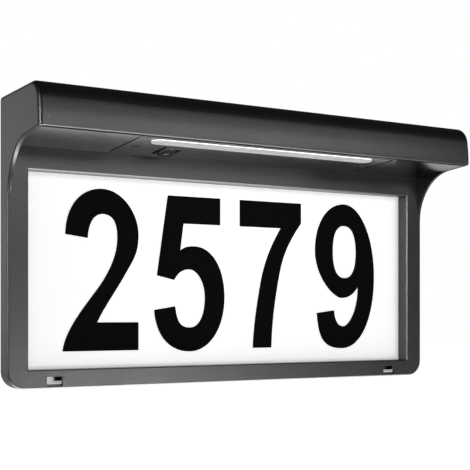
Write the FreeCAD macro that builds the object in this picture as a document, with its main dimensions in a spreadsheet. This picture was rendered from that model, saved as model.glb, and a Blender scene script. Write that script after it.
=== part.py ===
"""Illuminated house number sign: a hooded wall sign with a light bar over a white number panel.

The sign hangs on a white back plate that is screwed to the wall.  The black moulding with the
hood, the cheeks and the bezel hooks over the plate at the top and snaps onto it at the bottom.
A sealed light module sits in the sloping underside of the hood, and a solar panel in its roof.

Row frame: X to the right, Y into the wall, Z up.  The origin lies on the wall, in the middle of
the four wall holes.  Every piece is drawn in one of two frames of its own:
  the wall frame, whose zero is on the wall at the sign's bottom edge, and
  the underside frame, whose zero is where the hood's underside meets the bezel and which leans
  with the underside, so that its Z is the height above the visible face.
Depths are counted from the wall towards the viewer, which is -Y.
"""
import FreeCAD, Part
import Sketcher
import math
import os

SIZES = {
    # overall form
    "sign_width": 321.2,
    "sign_height": 178.0,
    "hood_depth": 65.6,
    "hood_round": 12.0,
    "hood_corner": 2.8,
    "crown_start": 2.0,
    "crown_round": 90.0,
    "crown_tilt": 8.4,
    "bezel_depth": 12.3,
    "corner_round": 10.7,
    "edge_round": 1.2,
    "underside_slope": 4.0,
    # heights counted down from the roof, so that the hood keeps its room if the sign grows:
    # the underside where it meets the bezel, the window's top edge, the foot of the hangers
    "underside_height": 30.7,
    "window_height": 44.8,
    "hanger_height": 17.0,
    # moulding walls
    "hood_wall": 2.5,
    "roof_wall": 2.5,
    "cheek_wall": 2.5,
    "cheek_drop": 0.5,
    "cheek_slope": 4.57,
    "cheek_round": 35.0,
    "skirt_wall": 2.1,
    "face_wall": 2.4,
    "liner_wall": 1.6,
    # window for the number panel
    "side_rail": 13.4,
    "bottom_rail": 11.5,
    "window_bevel": 0.7,
    # white back plate
    "plate_thickness": 2.4,
    "plate_play": 0.3,
    "wall_hole_inset": 6.7,
    "wall_hole_low": 28.5,
    "wall_hole_rise": 120.0,
    "wall_hole_radius": 2.25,
    # hangers at the top of the back plate
    "hanger_spacing": 190.0,
    "hanger_length": 36.0,
    "hanger_wall": 2.0,
    "hanger_reach": 5.2,
    "hanger_lip": 4.5,
    # snap hooks and their release windows in the bottom rail
    "release_inset": 30.3,
    "release_width": 10.2,
    "release_height": 6.0,
    "release_low": 1.2,
    "hook_side": 3.1,
    "hook_width": 6.6,
    "hook_wall": 1.5,
    "hook_drop": 4.3,
    "hook_bite": 1.0,
    "hook_play": 0.25,
    "hook_relief": 1.3,
    # stiffening ribs
    "rib_wall": 1.4,
    "rib_pitch": 45.0,
    "stop_rib_margin": 3.0,
    "stop_rib_spacing": 20.0,
    # underside cover
    "cover_wall": 2.0,
    "cover_play": 0.45,
    "cover_rim": 2.6,
    "cover_ledge": 0.8,
    # light module plate
    "module_wall": 2.0,
    "module_play": 0.45,
    "module_end_margin": 12.0,
    "module_screw_inset": 8.0,
    "module_screw_ahead": 22.6,
    "screw_radius": 1.45,
    "screw_head_radius": 2.8,
    "screw_head_thickness": 1.2,
    "screw_length": 12.0,
    "screw_play": 0.15,
    "boss_radius": 3.6,
    # box over the module
    "box_wall": 1.5,
    "box_play": 0.2,
    "box_roof_play": 0.35,
    "box_ear_wall": 2.0,
    "box_ear_radius": 4.4,
    "gasket_thickness": 1.0,
    # light bar
    "lens_length": 166.0,
    "lens_width": 9.8,
    "lens_middle": 38.1,
    "lens_proud": 0.5,
    "lens_flange": 0.9,
    "lens_flange_thickness": 1.0,
    "lens_play": 0.15,
    "lens_seal_thickness": 0.6,
    "reflector_height": 4.8,
    "reflector_wall": 1.2,
    "led_board_thickness": 1.2,
    "led_length": 3.5,
    "led_width": 2.8,
    "led_thickness": 0.7,
    "led_pitch": 8.6,
    # rocker switch
    "switch_offset": 60.5,
    "switch_middle": 16.8,
    "switch_width": 14.0,
    "switch_length": 20.4,
    "switch_flange": 0.7,
    "switch_body_width": 12.4,
    "switch_body_length": 18.6,
    "switch_body_height": 12.0,
    "switch_wall": 1.0,
    "switch_play": 0.2,
    "rocker_pivot_height": 2.8,
    "rocker_half_length": 7.5,
    "rocker_tip": 3.5,
    "rocker_waist": 2.4,
    "rocker_crown": 2.4,
    "rocker_tilt": 10.0,
    "rocker_play": 0.25,
    "pin_radius": 1.0,
    "pin_play": 0.05,
    "terminal_thickness": 0.8,
    "terminal_width": 4.6,
    "terminal_length": 5.0,
    "terminal_pitch": 7.0,
    # battery and its cradle
    "cell_radius": 9.15,
    "cell_length": 65.0,
    "cell_start": 5.5,
    "cradle_floor": 1.2,
    "cradle_height": 7.0,
    "cradle_end_wall": 1.4,
    "contact_thickness": 0.4,
    "contact_bulge": 1.3,
    "cell_play": 0.15,
    # control board
    "board_start": -46.0,
    "board_length": 38.0,
    "board_back": 9.2,
    "board_depth": 17.0,
    "board_height": 5.0,
    "board_thickness": 1.6,
    "part_margin": 1.0,
    "chip_place": 8.0,
    "chip_length": 5.0,
    "chip_width": 4.0,
    "chip_height": 1.5,
    "coil_side": 6.0,
    "coil_height": 3.2,
    "capacitor_place": 18.0,
    "capacitor_radius": 2.3,
    "capacitor_height": 6.5,
    "socket_length": 6.0,
    "socket_width": 4.0,
    "socket_height": 5.0,
    # solar panel in the roof
    "panel_width": 232.0,
    "panel_depth": 44.0,
    "panel_middle": 29.7,
    "panel_play": 0.25,
    "panel_recess": 2.5,
    "panel_floor": 1.5,
    "panel_seal_width": 3.0,
    "panel_seal_thickness": 0.5,
    "panel_board_thickness": 1.0,
    "cell_sheet_thickness": 0.2,
    "panel_cover_thickness": 0.6,
    "cell_strip_count": 11,
    "cell_strip_gap": 1.2,
    # leads
    "lead_radius": 0.55,
    "lead_bend": 2.2,
    "lead_hole_radius": 2.2,
    "panel_lead_offset": 28.0,
    "grommet_wall": 0.7,
    "grommet_collar": 0.8,
    "grommet_play": 0.05,
    "light_lead_place": 26.0,
}

doc = FreeCAD.newDocument("house_number_sign")
sheet = doc.addObject("Spreadsheet::Sheet", "sizes")
for row, (alias, number) in enumerate(SIZES.items(), start=1):
    sheet.set(f"A{row}", alias.replace("_", " "))
    sheet.set(f"B{row}", str(number))
    sheet.setAlias(f"B{row}", alias)
doc.recompute()


class Measure:
    """A number together with the sheet expression that gives it."""

    def __init__(self, number, text):
        self.number = float(number)
        self.text = text

    def __add__(self, other):
        other = measure(other)
        return Measure(self.number + other.number, f"({self.text} + {other.text})")

    def __sub__(self, other):
        other = measure(other)
        return Measure(self.number - other.number, f"({self.text} - {other.text})")

    def __mul__(self, other):
        other = measure(other)
        return Measure(self.number * other.number, f"({self.text} * {other.text})")

    def __truediv__(self, other):
        other = measure(other)
        return Measure(self.number / other.number, f"({self.text} / {other.text})")

    def __neg__(self):
        return Measure(-self.number, f"(-{self.text})")

    def __radd__(self, other):
        return measure(other) + self

    def __rsub__(self, other):
        return measure(other) - self

    def __rmul__(self, other):
        return measure(other) * self


def measure(value):
    """A plain number as a Measure, and a Measure as it is."""
    if isinstance(value, Measure):
        return value
    return Measure(value, f"{value:g}")


def sine(angle):
    return Measure(math.sin(math.radians(angle.number)), f"sin({angle.text})")


def cosine(angle):
    return Measure(math.cos(math.radians(angle.number)), f"cos({angle.text})")


def tangent(angle):
    return Measure(math.tan(math.radians(angle.number)), f"tan({angle.text})")


class Sheet:
    """The sheet's cells by name: mm.sign_width is the measure in the cell sign_width."""


mm = Sheet()
for alias in SIZES:
    setattr(mm, alias, Measure(sheet.get(alias), f"sizes.{alias}"))

# places that several pieces share ------------------------------------------------------------
half_width = mm.sign_width / 2
origin_height = mm.wall_hole_low + mm.wall_hole_rise / 2
window_half = half_width - mm.side_rail
underside_start = mm.sign_height - mm.underside_height
window_top = mm.sign_height - mm.window_height
hanger_foot = mm.sign_height - mm.hanger_height
roof_under = mm.sign_height - mm.roof_wall
face_back = mm.bezel_depth - mm.face_wall
hood_front = mm.hood_depth - mm.hood_wall
between_cheeks = half_width - mm.cheek_wall
inside_skirt = half_width - mm.skirt_wall
tray_under = mm.sign_height - mm.panel_recess - mm.panel_floor
ear_base = mm.module_wall + mm.gasket_thickness
boss_end = ear_base + mm.box_ear_wall
led_board_base = (mm.module_wall + mm.lens_seal_thickness + mm.lens_flange_thickness
                  + mm.reflector_height)
cell_height = mm.module_wall + mm.cradle_floor + mm.cell_play + mm.cell_radius
lens_deep = mm.lens_width / 2 + mm.lens_flange
box_back = (mm.switch_middle - mm.switch_body_length / 2 - mm.switch_play - mm.box_play
            - mm.box_wall)
box_step = mm.lens_middle - lens_deep - mm.box_play - mm.box_wall
box_front = mm.lens_middle + lens_deep + mm.box_play + mm.box_wall
box_back_height = cell_height + mm.cell_radius + mm.box_roof_play + mm.box_wall
box_front_height = led_board_base + mm.led_board_thickness + mm.box_wall * 2
cell_middle = box_back + mm.box_wall + mm.cell_play + mm.cell_radius
module_half = mm.lens_length / 2 + mm.module_end_margin
module_back = box_back - mm.cover_play - mm.cover_ledge
module_front = box_front + mm.cover_play + mm.cover_ledge
screw_x = module_half - mm.module_screw_inset
box_back_half = screw_x - mm.boss_radius - mm.box_play * 2
box_front_half = mm.lens_length / 2 + mm.lens_flange + mm.box_play + mm.box_wall


def underside_at(depth, above=0):
    """Height, from the sign's bottom edge, of a plane laid above the underside at a depth."""
    rise = (depth - mm.bezel_depth) * tangent(mm.underside_slope)
    return underside_start + rise + measure(above) / cosine(mm.underside_slope)


crown_corner = (underside_at(mm.hood_depth) + mm.crown_start
                + mm.crown_round * tangent(mm.crown_tilt / 2))


def front_at(depth, height):
    """Depth of the hood's leaning front, or of a plane behind it, at a height over its corner."""
    return depth - (height - crown_corner) * tangent(mm.crown_tilt)


# drawing helpers -----------------------------------------------------------------------------
def bind(thing, path, value):
    """Set a property from a measure and tie it to the sheet."""
    thing.setExpression(path, measure(value).text)


def shift_of(body, x, y, z):
    """Tie a body's place to the sheet."""
    for axis, value in (("x", x), ("y", y), ("z", z)):
        bind(body, f"Placement.Base.{axis}", value)


def wall_body(name):
    """A body in the wall frame."""
    body = doc.addObject("PartDesign::Body", name)
    body.Label = name
    body.Placement = FreeCAD.Placement(FreeCAD.Vector(0, 0, -origin_height.number),
                                       FreeCAD.Rotation())
    shift_of(body, 0, 0, -origin_height)
    return body


def lean(thing, angle, y, z, x=0):
    """Lean a body or primitive with the underside and move its zero to (x, y, z)."""
    thing.Placement = FreeCAD.Placement(
        FreeCAD.Vector(measure(x).number, y.number, z.number),
        FreeCAD.Rotation(FreeCAD.Vector(1, 0, 0), -angle.number))
    bind(thing, "Placement.Rotation.Angle", -angle)
    shift_of(thing, x, y, z)


def in_row(ahead, above):
    """Row frame Y and Z of a point that lies ahead of the bezel and above the underside."""
    slope = mm.underside_slope
    y = above * sine(slope) - ahead * cosine(slope) - mm.bezel_depth
    z = ahead * sine(slope) + above * cosine(slope) + underside_start - origin_height
    return y, z


def underside_body(name):
    """A body in the underside frame."""
    body = doc.addObject("PartDesign::Body", name)
    body.Label = name
    lean(body, mm.underside_slope, -mm.bezel_depth, underside_start - origin_height)
    return body


def sketch_on(body, role, offset=0):
    """A sketch on one of the body's own origin planes, moved along the plane's normal."""
    sketch = body.newObject("Sketcher::SketchObject", "outline")
    for plane in body.Origin.OriginFeatures:
        if plane.Role == role:
            sketch.AttachmentSupport = (plane, "")
    sketch.MapMode = "FlatFace"
    bind(sketch, "AttachmentOffset.Base.z", offset)
    return sketch


def fix_point(sketch, index, position, x, y):
    """Hold one point of a sketch at (x, y), both tied to the sheet."""
    for kind, value in (("DistanceX", x), ("DistanceY", y)):
        value = measure(value)
        place = sketch.addConstraint(Sketcher.Constraint(kind, index, position, value.number))
        sketch.renameConstraint(place, f"{kind}_{place}")
        sketch.setExpression(f"Constraints.{kind}_{place}", value.text)


def fix_radius(sketch, index, radius):
    place = sketch.addConstraint(Sketcher.Constraint("Radius", index, measure(radius).number))
    sketch.renameConstraint(place, f"radius_{place}")
    sketch.setExpression(f"Constraints.radius_{place}", measure(radius).text)


def corner_arc(before, corner, after, radius):
    """The arc that rounds a corner: its centre and the points where it leaves the two sides."""
    back = (before - corner).normalize()
    on = (after - corner).normalize()
    half = back.getAngle(on) / 2
    centre = corner + (back + on).normalize() * (radius / math.sin(half))
    reach = radius / math.tan(half)
    return centre, corner + back * reach, corner + on * reach


def draw_outline(sketch, corners):
    """A closed outline, anticlockwise, through corners (x, y) or (x, y, radius)."""
    count = len(corners)
    points = [FreeCAD.Vector(measure(c[0]).number, measure(c[1]).number, 0) for c in corners]
    starts = list(points)
    ends = list(points)
    arcs = {}
    for i, corner in enumerate(corners):
        if len(corner) == 3:
            radius = measure(corner[2])
            arc = corner_arc(points[i - 1], points[i], points[(i + 1) % count], radius.number)
            arcs[i] = (arc[0], radius)
            ends[i] = arc[1]
            starts[i] = arc[2]
    first = sketch.GeometryCount
    for i in range(count):
        sketch.addGeometry(Part.LineSegment(starts[i], ends[(i + 1) % count]), False)
    for i, corner in enumerate(corners):
        line_in = first + (i - 1) % count
        line_out = first + i
        if i not in arcs:
            sketch.addConstraint(Sketcher.Constraint("Coincident", line_in, 2, line_out, 1))
            fix_point(sketch, line_out, 1, corner[0], corner[1])
            continue
        centre, radius = arcs[i]
        turn = (points[i] - points[i - 1]).cross(points[(i + 1) % count] - points[i]).z
        first_point, last_point = (ends[i], starts[i]) if turn > 0 else (starts[i], ends[i])
        spoke_one = first_point - centre
        spoke_two = last_point - centre
        circle = Part.Circle(centre, FreeCAD.Vector(0, 0, 1), radius.number)
        arc = sketch.addGeometry(Part.ArcOfCircle(circle, math.atan2(spoke_one.y, spoke_one.x),
                                                  math.atan2(spoke_two.y, spoke_two.x)), False)
        near, far = (1, 2) if turn > 0 else (2, 1)
        sketch.addConstraint(Sketcher.Constraint("Tangent", line_in, 2, arc, near))
        sketch.addConstraint(Sketcher.Constraint("Tangent", line_out, 1, arc, far))
        fix_radius(sketch, arc, radius)
        point = sketch.addGeometry(Part.Point(points[i]), True)
        sketch.addConstraint(Sketcher.Constraint("PointOnObject", point, 1, line_in))
        sketch.addConstraint(Sketcher.Constraint("PointOnObject", point, 1, line_out))
        fix_point(sketch, point, 1, corner[0], corner[1])


def draw_box(sketch, left, low, right, high):
    draw_outline(sketch, [(left, low), (right, low), (right, high), (left, high)])


def draw_circle(sketch, x, y, radius):
    centre = FreeCAD.Vector(measure(x).number, measure(y).number, 0)
    circle = Part.Circle(centre, FreeCAD.Vector(0, 0, 1), measure(radius).number)
    index = sketch.addGeometry(circle, False)
    fix_point(sketch, index, 3, x, y)
    fix_radius(sketch, index, radius)


def draw_stadium(sketch, half_length, middle, width):
    """A slot with round ends, centred on X, at a height in the sketch."""
    half_length = measure(half_length)
    radius = measure(width) / 2
    reach = half_length - radius
    low = (middle - radius).number
    high = (middle + radius).number
    end = reach.number
    quarter = math.pi / 2
    up = FreeCAD.Vector(0, 0, 1)
    right = Part.Circle(FreeCAD.Vector(end, middle.number, 0), up, radius.number)
    left = Part.Circle(FreeCAD.Vector(-end, middle.number, 0), up, radius.number)
    pieces = [
        Part.LineSegment(FreeCAD.Vector(-end, low, 0), FreeCAD.Vector(end, low, 0)),
        Part.ArcOfCircle(right, -quarter, quarter),
        Part.LineSegment(FreeCAD.Vector(end, high, 0), FreeCAD.Vector(-end, high, 0)),
        Part.ArcOfCircle(left, quarter, 3 * quarter),
    ]
    first = sketch.GeometryCount
    for piece in pieces:
        sketch.addGeometry(piece, False)
    for i in range(4):
        following = first + (i + 1) % 4
        sketch.addConstraint(Sketcher.Constraint("Tangent", first + i, 2, following, 1))
    fix_point(sketch, first + 1, 3, reach, middle)
    fix_point(sketch, first + 3, 3, -reach, middle)
    fix_radius(sketch, first + 1, radius)
    fix_radius(sketch, first + 3, radius)


def pad(body, sketch, length, middle=False, reverse=False):
    feature = body.newObject("PartDesign::Pad", "pad")
    feature.Profile = sketch
    feature.SideType = "Symmetric" if middle else "One side"
    feature.Reversed = reverse
    bind(feature, "Length", length)
    return feature


def cut(body, sketch, length, middle=False, reverse=False):
    """A pocket against the sketch's normal, or along it when reversed; it must remove something."""
    doc.recompute()
    before = body.Shape.Volume
    feature = body.newObject("PartDesign::Pocket", "pocket")
    feature.Profile = sketch
    feature.SideType = "Symmetric" if middle else "One side"
    feature.Reversed = reverse
    bind(feature, "Length", length)
    doc.recompute()
    if body.Shape.Volume > before - 0.01:
        raise RuntimeError(f"a pocket of {body.Label} removes nothing")
    return feature


def round_edges(body, radius, wanted):
    """Fillet the edges of the body so far for which wanted(edge) holds."""
    doc.recompute()
    base = body.Tip
    names = [f"Edge{i}" for i, edge in enumerate(base.Shape.Edges, start=1) if wanted(edge)]
    feature = body.newObject("PartDesign::Fillet", "fillet")
    feature.Base = (base, names)
    bind(feature, "Radius", radius)
    doc.recompute()
    return feature


def bevel_edges(body, size, wanted):
    """Chamfer the edges of the body so far for which wanted(edge) holds."""
    doc.recompute()
    base = body.Tip
    names = [f"Edge{i}" for i, edge in enumerate(base.Shape.Edges, start=1) if wanted(edge)]
    feature = body.newObject("PartDesign::Chamfer", "chamfer")
    feature.Base = (base, names)
    bind(feature, "Size", size)
    doc.recompute()
    return feature


def on_plane(edge, x=None, y=None, z=None, slack=0.01):
    """True if the whole edge lies on each plane that is given."""
    box = edge.BoundBox
    checks = []
    if x is not None:
        checks.append(abs(box.XMin - x) < slack and abs(box.XMax - x) < slack)
    if y is not None:
        checks.append(abs(box.YMin - y) < slack and abs(box.YMax - y) < slack)
    if z is not None:
        checks.append(abs(box.ZMin - z) < slack and abs(box.ZMax - z) < slack)
    return all(checks)


# the black moulding --------------------------------------------------------------------------
def make_front_housing():
    """Hood, cheeks and bezel in one moulding, open at the back and under the hood."""
    body = wall_body("front_housing")
    outline = sketch_on(body, "XZ_Plane")
    draw_outline(outline, [(-half_width, 0, mm.corner_round), (half_width, 0, mm.corner_round),
                           (half_width, mm.sign_height), (-half_width, mm.sign_height)])
    pad(body, outline, mm.hood_depth)
    crown_hood_front(body)
    carve_side_profile(body)
    soften_outside(body)
    hollow_out(body)
    add_window(body)
    add_release_hooks(body)
    add_hanger_ribs(body)
    add_panel_tray(body)
    add_hood_ribs(body)
    add_module_bosses(body)
    add_rail_ribs(body)
    return body


def crown_hood_front(body):
    """Lean the hood's front back towards the roof, with a wide crown where the lean begins."""
    beyond = mm.hood_depth + mm.hood_wall
    over = mm.sign_height + mm.roof_wall
    start = underside_at(mm.hood_depth) + mm.crown_start / 2
    front = sketch_on(body, "YZ_Plane")
    draw_outline(front, [(-beyond, start), (-mm.hood_depth, start),
                         (-mm.hood_depth, crown_corner, mm.crown_round),
                         (-front_at(mm.hood_depth, over), over), (-beyond, over)])
    cut(body, front, mm.sign_width * 2, middle=True)


def carve_side_profile(body):
    """Cut the space in front of the bezel, first across the ends, then between the cheeks."""
    beyond = mm.hood_depth + mm.hood_wall
    cheek_top = underside_start - mm.cheek_drop
    run = mm.hood_depth + mm.hood_wall - mm.bezel_depth
    front_top = cheek_top + run * tangent(mm.cheek_slope)
    side = sketch_on(body, "YZ_Plane")
    draw_outline(side, [(-beyond, -mm.hood_wall), (-mm.bezel_depth, -mm.hood_wall),
                        (-mm.bezel_depth, cheek_top, mm.cheek_round), (-beyond, front_top)])
    cut(body, side, mm.sign_width * 2, middle=True)
    between = sketch_on(body, "YZ_Plane")
    draw_outline(between, [(-beyond, mm.bottom_rail), (-mm.bezel_depth, mm.bottom_rail),
                           (-mm.bezel_depth, underside_start),
                           (-beyond, underside_at(beyond))])
    cut(body, between, between_cheeks * 2, middle=True)


def soften_outside(body):
    """Round the hood's front-top edge and its ends, then the lower edges a hand can reach."""
    front = -mm.hood_depth.number
    top = mm.sign_height.number
    side = half_width.number
    below = (underside_at(mm.hood_depth) + mm.edge_round).number
    corner_top = mm.corner_round.number + 0.01
    top_front = -front_at(mm.hood_depth, mm.sign_height).number
    round_edges(body, mm.hood_round, lambda edge: on_plane(edge, y=top_front, z=top))

    def at_end(edge):
        return on_plane(edge, x=side) or on_plane(edge, x=-side)

    round_edges(body, mm.hood_corner, lambda edge: on_plane(edge, y=front) and at_end(edge))

    def lower_outside(edge):
        box = edge.BoundBox
        at_wall = box.YMax > -0.01 and box.YMin > -0.01
        bezel_edge = on_plane(edge, y=-mm.bezel_depth.number) and box.ZMax < corner_top
        hood_edge = on_plane(edge, y=front)
        return (at_end(edge) or bezel_edge or hood_edge) and box.ZMax < below and not at_wall

    round_edges(body, mm.edge_round, lower_outside)


def hollow_out(body):
    """Empty the bezel and the hood from behind, and open the hood downwards for its cover."""
    corner = mm.corner_round - mm.skirt_wall
    back = sketch_on(body, "XZ_Plane")
    draw_outline(back, [(-inside_skirt, mm.skirt_wall, corner), (inside_skirt, mm.skirt_wall, corner),
                        (inside_skirt, roof_under), (-inside_skirt, roof_under)])
    cut(body, back, face_back, reverse=True)
    inner_round = mm.hood_round - mm.roof_wall
    inside = sketch_on(body, "YZ_Plane")
    draw_outline(inside, [(-hood_front, underside_at(hood_front)),
                          (-face_back, underside_at(face_back)),
                          (-face_back, roof_under),
                          (-front_at(hood_front, roof_under), roof_under, inner_round),
                          (-hood_front, crown_corner, mm.crown_round - mm.hood_wall)])
    cut(body, inside, between_cheeks * 2, middle=True)


def add_window(body):
    """The liner that leads from the bezel's face back to the number panel, and its window."""
    liner = sketch_on(body, "XZ_Plane", mm.plate_thickness)
    wall = mm.liner_wall
    draw_box(liner, -(window_half + wall), mm.bottom_rail - wall, window_half + wall, window_top + wall)
    pad(body, liner, mm.bezel_depth - mm.plate_thickness - mm.face_wall / 2)
    window = sketch_on(body, "XZ_Plane")
    draw_box(window, -window_half, mm.bottom_rail, window_half, window_top)
    cut(body, window, mm.bezel_depth * 2, reverse=True)
    face = -mm.bezel_depth.number
    half = window_half.number
    low = mm.bottom_rail.number
    high = window_top.number

    def front_rim(edge):
        box = edge.BoundBox
        inside = abs(box.Center.x) < half + 0.01 and low - 0.01 < box.Center.z < high + 0.01
        return on_plane(edge, y=face) and inside

    bevel_edges(body, mm.window_bevel, front_rim)


def add_release_hooks(body):
    """Two windows in the bottom rail and, beside each, the snap hook that a blade can lift."""
    windows = sketch_on(body, "XZ_Plane", mm.bezel_depth + mm.face_wall)
    noses = sketch_on(body, "XZ_Plane", mm.hook_play)
    stems = sketch_on(body, "XZ_Plane", mm.hook_play)
    arms = sketch_on(body, "XZ_Plane", mm.hook_play)
    release_top = mm.release_low + mm.release_height
    tip = release_top - mm.hook_drop
    for side in (-1, 1):
        middle = side * (half_width - mm.release_inset)
        draw_box(windows, middle - mm.release_width / 2, mm.release_low,
                 middle + mm.release_width / 2, release_top)
        left = middle + mm.hook_side
        right = left + mm.hook_width
        top = release_top + mm.hook_wall
        draw_box(noses, left, tip, right, top)
        draw_box(stems, left, tip + mm.hook_bite + mm.hook_play, right, top)
        draw_box(arms, left, release_top, right, top)
    cut(body, windows, mm.face_wall * 2)
    pad(body, noses, mm.hook_relief - mm.hook_play * 2)
    pad(body, stems, mm.plate_thickness + mm.hook_wall)
    pad(body, arms, face_back + mm.face_wall / 2 - mm.hook_play)


def add_hanger_ribs(body):
    """Ribs under the roof that hang on the plate's hangers and carry the moulding."""
    for side in (-1, 1):
        rib = sketch_on(body, "YZ_Plane", side * mm.hanger_spacing / 2)
        near = mm.plate_thickness + mm.plate_play
        far = mm.plate_thickness + mm.hanger_reach - mm.hanger_wall - mm.plate_play
        seat = hanger_foot + mm.hanger_wall
        draw_box(rib, -far, seat, -near, roof_under + mm.roof_wall / 2)
        pad(body, rib, mm.hanger_length, middle=True)


def add_panel_tray(body):
    """The recess in the roof that holds the solar panel, with a hole for its lead."""
    half = mm.panel_width / 2
    near = mm.panel_middle - mm.panel_depth / 2
    far = mm.panel_middle + mm.panel_depth / 2
    tray = sketch_on(body, "XY_Plane", tray_under)
    wall = mm.roof_wall
    draw_box(tray, -(half + wall), -(far + wall), half + wall, -(near - wall))
    pad(body, tray, mm.sign_height - mm.roof_wall / 2 - tray_under)
    recess = sketch_on(body, "XY_Plane", mm.sign_height)
    draw_box(recess, -half, -far, half, -near)
    cut(body, recess, mm.panel_recess)
    hole = sketch_on(body, "XY_Plane", mm.sign_height)
    draw_circle(hole, -mm.panel_lead_offset, in_row(cell_middle, box_back_height)[0],
                mm.lead_hole_radius)
    cut(body, hole, mm.roof_wall * 3)


def add_hood_ribs(body):
    """Ribs across the hood that stiffen its roof and stop the underside cover from rising."""
    near = mm.bezel_depth + mm.face_wall
    far = hood_front + mm.hood_wall / 2
    high = roof_under + mm.roof_wall / 2
    nearest = mm.panel_width / 2 + mm.roof_wall + mm.stop_rib_margin
    for place in (nearest, nearest + mm.stop_rib_spacing):
        for side in (-1, 1):
            rib = sketch_on(body, "YZ_Plane", side * place)
            draw_outline(rib, [(-far, underside_at(far, mm.cover_wall)),
                               (-near, underside_at(near, mm.cover_wall)),
                               (-near, high),
                               (-front_at(far, high), high, mm.hood_round),
                               (-far, crown_corner, mm.crown_round)])
            pad(body, rib, mm.rib_wall, middle=True)


def tilt_sketch(sketch, above):
    """Lay a sketch of the wall frame on a plane above the underside."""
    slope = mm.underside_slope
    y = above * sine(slope) - mm.bezel_depth
    z = underside_start + above * cosine(slope)
    sketch.AttachmentOffset = FreeCAD.Placement(
        FreeCAD.Vector(0, y.number, z.number),
        FreeCAD.Rotation(FreeCAD.Vector(1, 0, 0), -slope.number))
    bind(sketch, "AttachmentOffset.Rotation.Angle", -slope)
    bind(sketch, "AttachmentOffset.Base.y", y)
    bind(sketch, "AttachmentOffset.Base.z", z)


def add_module_bosses(body):
    """Two bosses square to the underside, into which the module's screws go."""
    bosses = sketch_on(body, "XY_Plane")
    tilt_sketch(bosses, boss_end)
    pilots = sketch_on(body, "XY_Plane")
    tilt_sketch(pilots, boss_end)
    drop = mm.module_screw_ahead + mm.bezel_depth
    reach = (tray_under + mm.panel_floor / 2 - underside_at(drop)) * cosine(mm.underside_slope) - boss_end
    for side in (-1, 1):
        x = side * screw_x
        draw_circle(bosses, x, -mm.module_screw_ahead, mm.boss_radius)
        draw_circle(pilots, x, -mm.module_screw_ahead, mm.screw_radius + mm.screw_play / 2)
    pad(body, bosses, reach)
    cut(body, pilots, mm.screw_length + mm.screw_play * 2 - (boss_end - mm.screw_head_thickness),
        reverse=True)


def add_rail_ribs(body):
    """Short ribs between the liner and the skirt along the bottom rail."""
    ribs = sketch_on(body, "XZ_Plane", mm.plate_thickness + mm.plate_play)
    for step in (-2, -1, 0, 1, 2):
        x = step * mm.rib_pitch
        draw_box(ribs, x - mm.rib_wall / 2, mm.skirt_wall / 2, x + mm.rib_wall / 2,
                 mm.bottom_rail - mm.liner_wall / 2)
    pad(body, ribs, face_back + mm.face_wall / 2 - mm.plate_thickness - mm.plate_play)


# the white back plate ------------------------------------------------------------------------
def make_number_plate():
    """White plate that is screwed to the wall and shows in the window; it carries the moulding."""
    body = wall_body("number_plate")
    play = mm.plate_play
    edge = inside_skirt - play
    low = mm.skirt_wall + play
    corner = mm.corner_round - mm.skirt_wall - play
    plate = sketch_on(body, "XZ_Plane")
    draw_outline(plate, [(-edge, low, corner), (edge, low, corner),
                         (edge, roof_under - play), (-edge, roof_under - play)])
    pad(body, plate, mm.plate_thickness)
    holes = sketch_on(body, "XZ_Plane")
    for side in (-1, 1):
        for height in (mm.wall_hole_low, mm.wall_hole_low + mm.wall_hole_rise):
            draw_circle(holes, side * (half_width - mm.wall_hole_inset), height, mm.wall_hole_radius)
    cut(body, holes, mm.plate_thickness * 2, reverse=True)
    release_top = mm.release_low + mm.release_height
    slots = sketch_on(body, "XZ_Plane")
    reliefs = sketch_on(body, "XZ_Plane")
    for side in (-1, 1):
        left = side * (half_width - mm.release_inset) + mm.hook_side - play
        right = left + mm.hook_width + play * 2
        ledge = release_top - mm.hook_drop + mm.hook_bite
        top = release_top + mm.hook_wall + play
        draw_box(slots, left, ledge, right, top)
        draw_box(reliefs, left, ledge - mm.hook_bite - play, right, top)
    cut(body, slots, mm.plate_thickness * 2, reverse=True)
    cut(body, reliefs, mm.hook_relief, reverse=True)
    for side in (-1, 1):
        hanger = sketch_on(body, "YZ_Plane", side * mm.hanger_spacing / 2)
        seat = hanger_foot + mm.hanger_wall
        far = mm.plate_thickness + mm.hanger_reach
        near = mm.plate_thickness / 2
        draw_outline(hanger, [(-far, hanger_foot), (-near, hanger_foot), (-near, seat),
                              (-(far - mm.hanger_wall), seat),
                              (-(far - mm.hanger_wall), seat + mm.hanger_lip),
                              (-far, seat + mm.hanger_lip)])
        pad(body, hanger, mm.hanger_length, middle=True)
    return body


# the underside cover and the light module ----------------------------------------------------
def box_outline(grow):
    """Corners of the module box, wider in front for the light bar, grown by a distance."""
    grow = measure(grow)
    back_half = box_back_half + grow
    front_half = box_front_half + grow
    step = -(box_step - grow)
    back = -(box_back - grow)
    front = -(box_front + grow)
    return [(-front_half, front), (front_half, front), (front_half, step), (back_half, step),
            (back_half, back), (-back_half, back), (-back_half, step), (-front_half, step)]


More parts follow.
